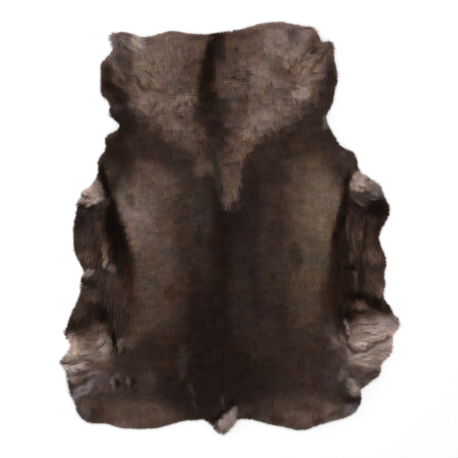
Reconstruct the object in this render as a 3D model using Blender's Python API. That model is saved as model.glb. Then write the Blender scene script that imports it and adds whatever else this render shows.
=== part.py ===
"""Reindeer hide: one lumpy slab of pile, flat below, with locks of hair standing out of its rim.

The hide lies hair side up, neck towards +Y, tail towards -Y, and rests on z = 0.
"""
import bpy
import bmesh
import numpy as np
from mathutils import Vector, noise

# Sizes in metres
RIM_WALL = 0.006        # height of the hair at the very edge
RIM_RUN = 0.050         # how far in from the edge the pile reaches its full height
RIM_INSET = 0.006       # the rim sits this far inside the outline; the locks reach out past it
NECK_INSET = 0.002      # the same at the cut edge of the neck
STRIP_DROP = 0.014      # the belly strips lie this much lower than the flanks
CREASE_STEP = 0.007     # half the width of the step down from a flank to its belly strip
MANE_RISE = 0.004       # the mane stands this much above the shoulders
LUMP = 0.003            # soft lumps of the pile

# Counts
BODY_CELLS = 36         # cells across, between the two creases
STRIP_CELLS = 5         # cells across each belly strip, inside its rim cells
LONG_CELLS = 66         # cells along, between the rim cells of neck and rump
RIM_STEPS = (0.0, 0.010, 0.024, 0.042)    # the rim cells, as distances in from the rim
REAR, FRONT = -0.550, 0.555               # level lines near the rump and the neck

# Left edge: along, across
LEFT_EDGE = (
    (-0.537, -0.444), (-0.502, -0.456), (-0.467, -0.473), (-0.433, -0.476), (-0.409, -0.479),
    (-0.392, -0.494), (-0.357, -0.470), (-0.333, -0.465), (-0.304, -0.482), (-0.269, -0.467),
    (-0.234, -0.456), (-0.200, -0.438), (-0.130, -0.427), (-0.100, -0.438), (-0.060, -0.453),
    (-0.007, -0.457), (0.045, -0.447), (0.080, -0.438), (0.115, -0.412), (0.150, -0.389),
    (0.200, -0.383), (0.226, -0.363), (0.262, -0.360), (0.299, -0.328), (0.325, -0.346),
    (0.360, -0.351), (0.395, -0.380), (0.447, -0.377), (0.490, -0.368), (0.515, -0.345),
    (0.560, -0.345))

# Right edge: along, across
RIGHT_EDGE = (
    (-0.537, 0.366), (-0.502, 0.383), (-0.467, 0.392), (-0.433, 0.435), (-0.392, 0.447),
    (-0.357, 0.470), (-0.304, 0.479), (-0.269, 0.497), (-0.234, 0.473), (-0.200, 0.450),
    (-0.165, 0.456), (-0.130, 0.453), (-0.100, 0.459), (-0.060, 0.447), (-0.010, 0.440),
    (0.045, 0.467), (0.080, 0.462), (0.115, 0.444), (0.150, 0.396), (0.208, 0.371),
    (0.226, 0.348), (0.255, 0.315), (0.299, 0.287), (0.325, 0.284), (0.360, 0.299),
    (0.395, 0.307), (0.447, 0.316), (0.488, 0.307), (0.534, 0.301))

# Cut edge of the neck: across, along
NECK_EDGE = (
    (-0.345, 0.560), (-0.330, 0.569), (-0.290, 0.567), (-0.261, 0.557), (-0.220, 0.560),
    (-0.167, 0.572), (-0.115, 0.566), (-0.063, 0.563), (-0.013, 0.568), (0.060, 0.586),
    (0.095, 0.595), (0.133, 0.600), (0.176, 0.592), (0.217, 0.586), (0.246, 0.584),
    (0.259, 0.566), (0.272, 0.541), (0.287, 0.545), (0.301, 0.536))

# Rump edge with the tail: across, along
RUMP_EDGE = (
    (-0.444, -0.538), (-0.428, -0.556), (-0.405, -0.567), (-0.348, -0.572), (-0.301, -0.584),
    (-0.220, -0.584), (-0.159, -0.569), (-0.115, -0.560), (-0.066, -0.561), (-0.050, -0.582),
    (-0.025, -0.598), (0.004, -0.590), (0.022, -0.563), (0.060, -0.557), (0.095, -0.566),
    (0.150, -0.580), (0.211, -0.587), (0.281, -0.566), (0.322, -0.557), (0.350, -0.548),
    (0.366, -0.537))

# The two creases between flank and belly strip: along, left, right, depth from 0 to 1
CREASES = (
    (-0.560, -0.300, 0.250, 0.0), (-0.430, -0.320, 0.300, 0.1), (-0.350, -0.326, 0.316, 0.5),
    (-0.284, -0.303, 0.308, 0.9), (-0.210, -0.284, 0.290, 1.0), (-0.124, -0.282, 0.288, 1.0),
    (-0.036, -0.304, 0.300, 1.0), (0.036, -0.328, 0.320, 1.0), (0.095, -0.346, 0.338, 1.0),
    (0.167, -0.348, 0.338, 0.9), (0.226, -0.310, 0.285, 0.3), (0.299, -0.265, 0.222, 0.0),
    (0.560, -0.285, 0.240, 0.0))

# Height of the pile down the back: along, height
LOFT = (
    (-0.600, 0.024), (-0.430, 0.026), (-0.230, 0.029), (0.050, 0.030), (0.250, 0.030),
    (0.400, 0.034), (0.600, 0.032))

# Lower border of the mane, a tongue running back between the shoulders: across, along
MANE_BORDER = (
    (-0.360, 0.300), (-0.180, 0.262), (-0.090, 0.200), (-0.035, 0.090), (-0.010, 0.066),
    (0.020, 0.066), (0.045, 0.150), (0.070, 0.205), (0.160, 0.268), (0.300, 0.310))

# Folds of the pile: name, from (across, along), to (across, along), height, half width
FOLDS = (
    ("dorsal furrow", (-0.054, 0.560), (-0.046, 0.250), -0.005, 0.016),
    ("neck streak left", (-0.320, 0.530), (-0.230, 0.415), 0.004, 0.016),
    ("neck streak right", (0.180, 0.520), (0.235, 0.400), 0.003, 0.022),
    ("left foreleg tuft", (-0.425, 0.112), (-0.375, 0.108), 0.007, 0.018),
    ("left foreleg parting", (-0.425, 0.064), (-0.362, 0.068), -0.006, 0.012),
    ("right foreleg tuft", (0.368, 0.142), (0.425, 0.112), 0.007, 0.018),
    ("right foreleg parting", (0.350, 0.082), (0.445, 0.078), -0.006, 0.013),
    ("left belly ridge", (-0.385, 0.030), (-0.366, -0.120), 0.006, 0.015),
    ("left belly groove", (-0.418, 0.000), (-0.405, -0.110), -0.003, 0.014),
    ("left low belly ridge", (-0.372, -0.170), (-0.345, -0.270), 0.005, 0.018),
    ("right belly ridge", (0.372, 0.040), (0.372, -0.160), 0.007, 0.014),
    ("right belly groove", (0.395, 0.020), (0.398, -0.190), -0.004, 0.012),
    ("right outer ridge", (0.422, -0.060), (0.428, -0.210), 0.005, 0.014),
    ("right belly pit", (0.350, -0.200), (0.392, -0.204), -0.006, 0.014),
    ("left hind tuft", (-0.445, -0.330), (-0.355, -0.330), 0.006, 0.022),
    ("left hind parting", (-0.480, -0.398), (-0.370, -0.366), -0.005, 0.011),
    ("left hock parting", (-0.465, -0.440), (-0.350, -0.400), -0.005, 0.011),
    ("left hock ridge", (-0.465, -0.470), (-0.360, -0.425), 0.004, 0.014),
    ("left whorl", (-0.338, -0.445), (-0.312, -0.472), -0.005, 0.014),
    ("right hind tuft", (0.352, -0.290), (0.470, -0.275), 0.005, 0.018),
    ("right hind ridge", (0.350, -0.345), (0.460, -0.320), 0.005, 0.018),
    ("right hind parting", (0.350, -0.368), (0.455, -0.352), -0.005, 0.011),
    ("right hock parting", (0.335, -0.415), (0.425, -0.412), -0.005, 0.013),
    ("right hock ridge", (0.340, -0.470), (0.380, -0.490), 0.004, 0.016),
    ("tail root", (-0.050, -0.535), (0.012, -0.512), -0.007, 0.015),
    ("tail tuft", (0.004, -0.535), (-0.026, -0.590), 0.009, 0.018))

# Locks at the rim: zone, share of its cells with a lock, least and most reach, sweep rearwards
LOCKS = {"neck": (0.3, 0.003, 0.006, 0.0), "side": (0.65, 0.004, 0.011, 0.6),
         "flap": (0.8, 0.006, 0.016, 0.4), "rump": (0.8, 0.005, 0.011, 0.0)}
FLAPS = ((0.060, 0.170), (-0.450, -0.260))     # along: forelegs, hind legs


def column(rows, at, k=1):
    """Smooth curve through column k of a table, read at the given places."""
    table = np.array([[float(v) for v in row] for row in rows])
    knots, values = table[:, 0], table[:, k]
    slopes = np.gradient(values, knots)
    at = np.clip(at, knots[0], knots[-1])
    i = np.clip(np.searchsorted(knots, at) - 1, 0, len(knots) - 2)
    run = knots[i + 1] - knots[i]
    t = (at - knots[i]) / run
    return ((2 * t**3 - 3 * t**2 + 1) * values[i] + (t**3 - 2 * t**2 + t) * run * slopes[i]
            + (3 * t**2 - 2 * t**3) * values[i + 1] + (t**3 - t**2) * run * slopes[i + 1])


def smooth(t):
    t = np.clip(t, 0.0, 1.0)
    return t * t * (3 - 2 * t)


def stations(v, rump, neck):
    """Along-positions of the rows; the shapes of the two ends fade out towards the middle."""
    return REAR + v * (FRONT - REAR) + (neck - FRONT) * v**3 + (rump - REAR) * (1 - v)**3


def side_cells(room):
    """Distances in from the rim: the rim cells, then the strip cells, up to the crease."""
    steps = np.outer(np.minimum(1.0, 0.5 * room / RIM_STEPS[-1]), RIM_STEPS)
    fill = np.linspace(0.0, 1.0, STRIP_CELLS + 1)[1:]
    return np.hstack([steps, steps[:, -1:] + np.outer(room, fill) - steps[:, -1:] * fill])


def plan():
    """Rows of points from rump to neck; each row runs from the left rim to the right rim."""
    length = FRONT - REAR
    rear = (np.array(RIM_STEPS) + RIM_INSET) / length
    front = 1 - (np.array(RIM_STEPS[::-1]) + NECK_INSET) / length
    v = np.concatenate([rear, np.linspace(rear[-1], front[0], LONG_CELLS + 1)[1:-1], front])
    left = column(LEFT_EDGE, stations(v, RUMP_EDGE[0][1], NECK_EDGE[0][1]))
    right = column(RIGHT_EDGE, stations(v, RUMP_EDGE[-1][1], NECK_EDGE[-1][1]))
    along = REAR + v * length
    crease_l = column(CREASES, along, 1) + CREASE_STEP * np.array([[-1.0], [1.0]])
    crease_r = column(CREASES, along, 2) + CREASE_STEP * np.array([[-1.0], [1.0]])
    west = left[:, None] + RIM_INSET + side_cells(crease_l[0] - left - RIM_INSET)
    east = right[:, None] - RIM_INSET - side_cells(right - RIM_INSET - crease_r[1])
    body = np.linspace(0.0, 1.0, BODY_CELLS + 1)
    x = np.hstack([west, crease_l[1][:, None] + np.outer(crease_r[0] - crease_l[1], body),
                   east[:, ::-1]])
    u = (x - left[:, None]) / (right - left)[:, None]
    rump = column(RUMP_EDGE, RUMP_EDGE[0][0] + u * (RUMP_EDGE[-1][0] - RUMP_EDGE[0][0]))
    neck = column(NECK_EDGE, NECK_EDGE[0][0] + u * (NECK_EDGE[-1][0] - NECK_EDGE[0][0]))
    return x, stations(v[:, None], rump, neck)


def pile(x, y):
    """Height of the pile over each point of the plan."""
    body = column(LOFT, y)
    depth = column(CREASES, y, 3)
    inside = np.minimum(x - column(CREASES, y, 1), column(CREASES, y, 2) - x)
    height = body - depth * STRIP_DROP * (1 - smooth((inside + CREASE_STEP) / (2 * CREASE_STEP)))
    height += depth * 0.004 * np.exp(-((inside - 0.022) / 0.018) ** 2)
    height -= depth * 0.004 * np.exp(-((inside + 0.016) / 0.010) ** 2)
    height += MANE_RISE * smooth((y - column(MANE_BORDER, x)) / 0.030)
    for _, a, b, rise, half in FOLDS:
        a, b = np.array(a), np.array(b)
        run = b - a
        t = np.clip(((x - a[0]) * run[0] + (y - a[1]) * run[1]) / run.dot(run), 0.0, 1.0)
        away = np.hypot(x - a[0] - t * run[0], y - a[1] - t * run[1])
        height += rise * np.exp(-(away / half) ** 2)
    for i in range(x.shape[0]):
        for j in range(x.shape[1]):
            place = Vector((x[i, j], y[i, j], 0.0))
            height[i, j] += LUMP * (noise.noise(place * 16) + 0.5 * noise.noise(place * 41))
    edge = np.minimum(np.minimum(x - x[:, :1], x[:, -1:] - x),
                      np.minimum(y - y[:1], y[-1:] - y))
    t = np.clip(edge / RIM_RUN, 0.0, 1.0)
    return RIM_WALL + (height - RIM_WALL) * np.sqrt(1 - (1 - t) ** 2)


def slab(x, y, z):
    """The pile as a grid of cells, its rim dropped to the floor and closed by a flat underside."""
    rows, cols = x.shape
    bm = bmesh.new()
    bmesh.ops.create_grid(bm, x_segments=cols - 1, y_segments=rows - 1, size=1.0)
    bm.verts.ensure_lookup_table()
    order = sorted(bm.verts, key=lambda p: (round(p.co.y, 5), round(p.co.x, 5)))
    for k, vert in enumerate(order):
        i, j = divmod(k, cols)
        vert.co = (x[i, j], y[i, j], z[i, j])
    rim = [e for e in bm.edges if e.is_boundary]
    wall = bmesh.ops.extrude_edge_only(bm, edges=rim)["geom"]
    for part in wall:
        if isinstance(part, bmesh.types.BMVert):
            part.co.z = 0.0
    sides = [f for f in wall if isinstance(f, bmesh.types.BMFace)]
    floor = [e for e in wall if isinstance(e, bmesh.types.BMEdge) and e.is_boundary]
    under = bmesh.ops.contextual_create(bm, geom=floor)["faces"]
    bmesh.ops.triangulate(bm, faces=under, ngon_method='BEAUTY')
    bmesh.ops.recalc_face_normals(bm, faces=bm.faces)
    return bm, sides


def add_locks(bm, sides):
    """Draw some cells of the rim wall out to a point, as a lock of hair with four sides."""
    rng = np.random.default_rng(11)
    neck = max(v.co.y for f in sides for v in f.verts) - 0.075
    rump = min(v.co.y for f in sides for v in f.verts) + 0.060
    for face in sorted(sides, key=lambda f: tuple(round(c, 5) for c in f.calc_center_median())):
        centre, out = face.calc_center_median(), face.normal.copy()
        take, share = rng.random(2).tolist()
        if centre.y > neck and out.y > 0.5:
            zone = "neck"
        elif centre.y < rump and out.y < -0.5:
            zone = "rump"
        else:
            zone = "flap" if any(a < centre.y < b for a, b in FLAPS) else "side"
        filled, least, most, sweep = LOCKS[zone]
        if take > filled:
            continue
        reach = least + share * (most - least)
        tip = bmesh.ops.poke(bm, faces=[face])["verts"][0]
        tip.co = centre + reach * (out + Vector((0.0, -sweep, 0.0)))
        tip.co.z = 0.0015 + 0.002 * share


def material(name, colour, roughness):
    mat = bpy.data.materials.new(name)
    mat.use_nodes = True
    shader = mat.node_tree.nodes["Principled BSDF"]
    shader.inputs["Base Color"].default_value = (*colour, 1.0)
    shader.inputs["Roughness"].default_value = roughness
    return mat


def main():
    for leftover in list(bpy.data.objects):
        bpy.data.objects.remove(leftover, do_unlink=True)
    parts = bpy.data.collections.new("reindeer_hide_parts")
    bpy.context.scene.collection.children.link(parts)

    x, y = plan()
    bm, sides = slab(x, y, pile(x, y))
    add_locks(bm, sides)
    bmesh.ops.triangulate(bm, faces=bm.faces[:], quad_method='SHORT_EDGE')
    bmesh.ops.recalc_face_normals(bm, faces=bm.faces)

    # The box of the hide is centred on the origin and stands on z = 0
    low = Vector([min(p.co[k] for p in bm.verts) for k in range(3)])
    high = Vector([max(p.co[k] for p in bm.verts) for k in range(3)])
    middle = (low + high) / 2
    bmesh.ops.translate(bm, verts=bm.verts, vec=(-middle.x, -middle.y, -low.z))
    mesh = bpy.data.meshes.new("reindeer_hide")
    bm.to_mesh(mesh)
    bm.free()
    hide = bpy.data.objects.new("reindeer_hide", mesh)
    mesh.materials.append(material("fur", (0.10, 0.075, 0.06), 0.9))
    parts.objects.link(hide)


main()
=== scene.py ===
"""Reindeer hide, spread flat on a pale floor with its hair up and its neck away from the viewer."""
import math

import bmesh
import bpy
import numpy as np
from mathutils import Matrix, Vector, kdtree
from mathutils.bvhtree import BVHTree


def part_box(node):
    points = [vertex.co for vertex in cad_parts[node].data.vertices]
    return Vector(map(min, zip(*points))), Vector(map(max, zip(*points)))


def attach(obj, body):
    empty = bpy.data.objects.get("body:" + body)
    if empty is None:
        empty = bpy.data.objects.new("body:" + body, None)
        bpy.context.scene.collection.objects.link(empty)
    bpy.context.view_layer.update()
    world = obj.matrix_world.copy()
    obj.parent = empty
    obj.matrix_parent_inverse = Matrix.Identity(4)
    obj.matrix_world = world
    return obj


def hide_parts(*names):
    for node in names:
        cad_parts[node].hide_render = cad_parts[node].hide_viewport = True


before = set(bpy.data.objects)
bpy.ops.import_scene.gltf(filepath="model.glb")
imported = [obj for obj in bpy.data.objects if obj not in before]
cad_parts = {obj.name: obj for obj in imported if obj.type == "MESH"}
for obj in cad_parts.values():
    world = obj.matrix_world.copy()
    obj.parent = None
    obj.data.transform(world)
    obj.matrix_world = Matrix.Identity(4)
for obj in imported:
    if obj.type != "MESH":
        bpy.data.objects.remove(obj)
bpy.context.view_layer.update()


# ------------------------------------------------------------------------------------- the skin
# Deer skin about 2 mm thick, tanned pale and sueded on its flesh side, which lies on the floor.
# It is cut to the outline of the solid, 2 mm inside it, so that the hair hides its edge.

SKIN_THICK = 0.0020
SKIN_INSET = 0.0020
WELD = 0.00001
BUFF, TAN, GREY_SUEDE = (0.60, 0.50, 0.38), (0.42, 0.32, 0.22), (0.50, 0.45, 0.38)
STAINS, NAP, PORES = 7.0, 420.0, 900.0     # of these to a metre
NAP_DEPTH = 0.0004
NAP_GREY, PORE_DEPTH = 0.5, 0.4            # shares of the nap

# Places are read off the photograph, in its pixels, from its left and from its top
PIXEL = 1.200 / 412         # metres of hide in one of them
MIDDLE = (230.22, 226.37)   # the one at the hide's origin

# Where the rim lies a little to one side of the solid's: place, across, down, half width, and the
# shift to the right and down
NUDGES = (
    ("neck top left", 166, 33, 14, 0, -1.2), ("neck top", 199, 33, 6, 0, -0.7),
    ("neck top middle", 217, 32, 8, 0, -1.4), ("neck top rise", 256, 24, 12, 0, -0.9),
    ("neck top right", 300, 24, 8, 0, -0.6), ("neck top crest", 283, 22, 7, 0, -0.7),
    ("neck top right end", 316, 31, 4, -1.5, -0.3), ("neck right notch", 321, 39, 4, 0, 2.5),
    ("neck right corner", 323, 42, 5, -1.4, 0), ("neck right", 336, 64, 9, -1.4, 0),
    ("neck right low", 336, 88, 9, -0.9, 0), ("waist right", 328, 113, 9, -1.2, 0),
    ("neck left high", 108, 54, 7, 2.4, 0), ("neck left edge", 100, 66, 7, -1.5, 0),
    ("neck left", 99, 84, 7, 2.0, 0), ("neck left low", 104, 98, 5, 1.2, 0),
    ("neck left foot", 108, 110, 5, -0.9, 0), ("waist left", 115, 128, 7, 4.2, 0),
    ("shoulder right", 342, 145, 9, -1.9, 0.4), ("shoulder right end", 355, 153, 4, 1.2, 0),
    ("shoulder left", 106, 138, 5, -2.2, 0), ("left foreleg top", 92, 184, 6, 1.7, 1.5),
    ("left foreleg end", 84, 192, 4, -2.6, -0.8), ("left foreleg low", 76, 206, 7, -1.3, 0),
    ("right foreleg top", 357, 163, 8, -3.6, 0.3), ("right foreleg brow", 367, 177, 6, -1.4, 0),
    ("right foreleg", 380, 186, 9, -2.3, 0), ("right foreleg low", 385, 198, 6, -1.0, 0),
    ("right belly", 381, 240, 8, -2.3, 0), ("right belly low", 384, 259, 9, -0.6, 0),
    ("right belly end", 384, 284, 14, -0.9, 0), ("right belly corner", 387, 303, 5, -1.4, 0),
    ("left belly", 75, 254, 9, -1.6, 0), ("left belly knob", 81, 266, 4, 0.9, 0),
    ("left belly notch", 80, 282, 8, -4.7, 0), ("left belly low", 77, 300, 4, 0.6, 0),
    ("left belly end", 69, 317, 7, -2.2, 0), ("right thigh top", 395, 314, 5, -3.6, 0),
    ("right thigh tip", 399, 323, 4, 0.8, 0), ("right thigh", 395, 339, 12, -2.4, 0),
    ("right heel", 386, 358, 5, -1.2, 0), ("right hock bay", 379, 373, 5, 1.2, 0),
    ("right hock", 365, 386, 8, -4.9, -2.2), ("right shank", 354, 412, 7, -0.8, -0.8),
    ("left thigh", 68, 347, 9, 2.9, 0), ("left heel", 64, 369, 6, 1.7, 0),
    ("left shank", 70, 397, 8, 2.7, 0), ("neck right lip", 334, 43, 4, 1.0, 0),
    ("left shank end", 87, 421, 5, -0.6, 0.8), ("rump left", 118, 427, 8, 0, 1.6),
    ("rump middle left", 160, 428, 8, 0, 0.7), ("rump middle right", 264, 423, 9, 0, 0.9),
    ("rump right", 300, 428, 12, 0, 1.2), ("rump tip right", 328, 423, 8, 0, 1.0),
    ("beside the tail left", 199, 420, 6, 0, 2.1), ("tail left", 208, 424, 6, 2.8, -1.2),
    ("tail end", 220, 432, 7, -1.0, 2.2), ("tail right", 235, 425, 6, -3.2, 0.3),
    ("beside the tail right", 245, 420, 6, 0, 2.0))


class Value:
    """An output socket of a finish; sums and products on it add Math nodes."""

    def __init__(self, finish, socket):
        self.finish = finish
        self.socket = socket

    def maths(self, operation, first, second):
        return self.finish.node("ShaderNodeMath", {"operation": operation}, {0: first, 1: second})

    def __add__(self, other):
        return self.maths("ADD", self, other)

    def __mul__(self, other):
        return self.maths("MULTIPLY", self, other)

    def __sub__(self, other):
        return self.maths("SUBTRACT", self, other)

    def __rsub__(self, other):
        return self.maths("SUBTRACT", other, self)

    def __pow__(self, other):
        return self.maths("POWER", self, other)

    __radd__ = __add__
    __rmul__ = __mul__


class Finish:
    """A material with one Principled shader; what is the same all over is set on its sockets."""

    def __init__(self, name, **fixed):
        self.material = bpy.data.materials.new(name)
        self.material.use_nodes = True
        self.tree = self.material.node_tree
        self.shader = self.tree.nodes["Principled BSDF"]
        for socket, value in fixed.items():
            self.shader.inputs[socket.replace("_", " ")].default_value = value

    def feed(self, socket, value):
        if isinstance(value, Value):
            self.tree.links.new(value.socket, socket)
        else:
            socket.default_value = value

    def node(self, kind, settings, values, out=0):
        """A node with its settings, then its sockets' values or links; returns one output."""
        node = self.tree.nodes.new(kind)
        for name, value in settings.items():
            setattr(node, name, value)
        for name, value in values.items():
            self.feed(node.inputs[name], value)
        return Value(self, node.outputs[out])

    def blend(self, share, first, second):
        """A colour part of the way from the first to the second."""
        ends = [(*c, 1.0) if isinstance(c, tuple) else c for c in (first, second)]
        return self.node("ShaderNodeMix", {"data_type": "RGBA"},
                         {"Factor": share, 6: ends[0], 7: ends[1]}, out=2)

    def surface(self, **varying):
        for socket, value in varying.items():
            self.feed(self.shader.inputs[socket.replace("_", " ")], value)
        return self.material


def suede():
    finish = Finish("sueded_skin", Roughness=0.9, Specular_IOR_Level=0.2)
    place = finish.node("ShaderNodeTexCoord", {}, {}, out="Object")
    stain = finish.node("ShaderNodeTexNoise", {},
                        {"Vector": place, "Scale": STAINS, "Detail": 5.0})
    nap = finish.node("ShaderNodeTexNoise", {}, {"Vector": place, "Scale": NAP, "Detail": 4.0})
    pores = finish.node("ShaderNodeTexVoronoi", {}, {"Vector": place, "Scale": PORES})
    colour = finish.blend(stain, BUFF, TAN)
    colour = finish.blend(nap * NAP_GREY, colour, GREY_SUEDE)
    bump = finish.node("ShaderNodeBump", {}, {
        "Strength": 0.5, "Distance": NAP_DEPTH, "Height": nap + pores * PORE_DEPTH})
    return finish.surface(Base_Color=colour, Normal=bump)


def on_hide(across, down):
    """Where a pixel of the photograph lies on the hide, in metres."""
    return (across - MIDDLE[0]) * PIXEL, (MIDDLE[1] - down) * PIXEL


def merged_solid():
    """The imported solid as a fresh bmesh, its loose triangles joined and its rim nudged."""
    bm = bmesh.new()
    bm.from_mesh(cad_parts["reindeer_hide"].data)
    bmesh.ops.remove_doubles(bm, verts=bm.verts, dist=WELD)
    for _, across, down, half, right, lower in NUDGES:
        px, py = on_hide(across, down)
        for v in bm.verts:
            away = math.hypot(v.co.x - px, v.co.y - py) / (half * PIXEL)
            v.co += Vector((right, -lower, 0)) * PIXEL * math.exp(-away ** 2)
    return bm


def new_piece(name, bm, material):
    mesh = bpy.data.meshes.new(name)
    bm.to_mesh(mesh)
    bm.free()
    mesh.materials.append(material)
    piece = bpy.data.objects.new(name, mesh)
    bpy.context.scene.collection.objects.link(piece)
    return piece


bm = merged_solid()
above = [f for f in bm.faces if max(v.co.z for v in f.verts) > WELD]
bmesh.ops.delete(bm, geom=above, context="FACES")
rim_edges = [e for e in bm.edges if e.is_boundary]
rim = [(e.verts[0].co.copy(), e.verts[1].co.copy()) for e in rim_edges]
trim = bmesh.ops.inset_region(bm, faces=bm.faces, thickness=SKIN_INSET, use_boundary=True,
                              use_even_offset=False)["faces"]
bmesh.ops.delete(bm, geom=trim, context="FACES")
skin_area = sum(f.calc_area() for f in bm.faces)
walls = bmesh.ops.extrude_face_region(bm, geom=bm.faces[:])["geom"]
bmesh.ops.translate(bm, vec=(0, 0, SKIN_THICK),
                    verts=[v for v in walls if isinstance(v, bmesh.types.BMVert)])
bmesh.ops.recalc_face_normals(bm, faces=bm.faces)
hide_skin = new_piece("hide_skin", bm, suede())
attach(hide_skin, "root")
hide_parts("reindeer_hide")


# --------------------------------------------------------------------------------- the underfur
# The dense, crimped wool at the roots of the long hair, of the same colour with painted shade of
# the long hair over it, deepest in the hollows of its crimp. It grows out of the skin, so it is one
# soft mat with the lumps and folds of the solid, a little lower.

UNDERFUR_SHARE = 0.62       # of the pile's height
UNDERFUR_BASE = 0.0016
LOCK_TIP = (0.0005, 0.0050)     # the points of the solid's locks lie between these heights
COAT_GAIN = (1.415, 1.37, 1.37)  # how much lighter a hair is than the shaded coat looks
WOOL_CRIMP = 260.0          # crimps to a metre
# Painted shade of the long hair over the wool: shares of the hair's colour in its crimp's hollows
# and on its crests
WOOL_HOLLOW_SHADE, WOOL_CREST_SHADE = (0.10, 0.10, 0.10), (0.75, 0.72, 0.70)   # shares of the hair's colour
WOOL_BUMP = 0.002

# The coat's tones, as a screen shows them
TONES = {
    "smoke": (110, 92, 83), "ash": (140, 122, 113), "dun": (97, 79, 69), "fawn": (100, 82, 66),
    "flax": (114, 96, 80), "umber": (74, 58, 49), "bark": (54, 41, 35), "plum": (45, 34, 33),
    "peat": (34, 23, 18), "soot": (18, 8, 2), "cream": (162, 144, 134), "oat": (122, 103, 93),
    "slate": (116, 106, 107), "lead": (68, 56, 55), "mane": (90, 72, 63), "russet": (58, 38, 29),
    "olive": (70, 60, 47), "walnut": (50, 34, 25), "loam": (34, 22, 16), "pewter": (62, 52, 47),
    "bone": (192, 175, 165)}

# Lower border of the mane: across, down
MANE_BORDER = (
    (90, 90), (124, 97), (136, 110), (155, 126), (178, 143), (197, 157), (209, 169),
    (216, 181), (219.5, 190), (221, 201), (224, 207), (229, 205), (235, 202.5), (238, 204.5),
    (239, 203), (238.5, 190), (239.5, 172), (244, 157), (252, 147), (262, 139), (274, 131),
    (288, 124), (305, 114), (326, 104), (345, 98))
MANE_EDGE = 0.050, 0.022    # how softly it fades on the left and on the right
MANE_EDGE_TURN = -0.060, -0.030     # between these it goes from the one to the other
MANE_UNDER = "neck left mid"        # the first of the patches that lie over it

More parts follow.
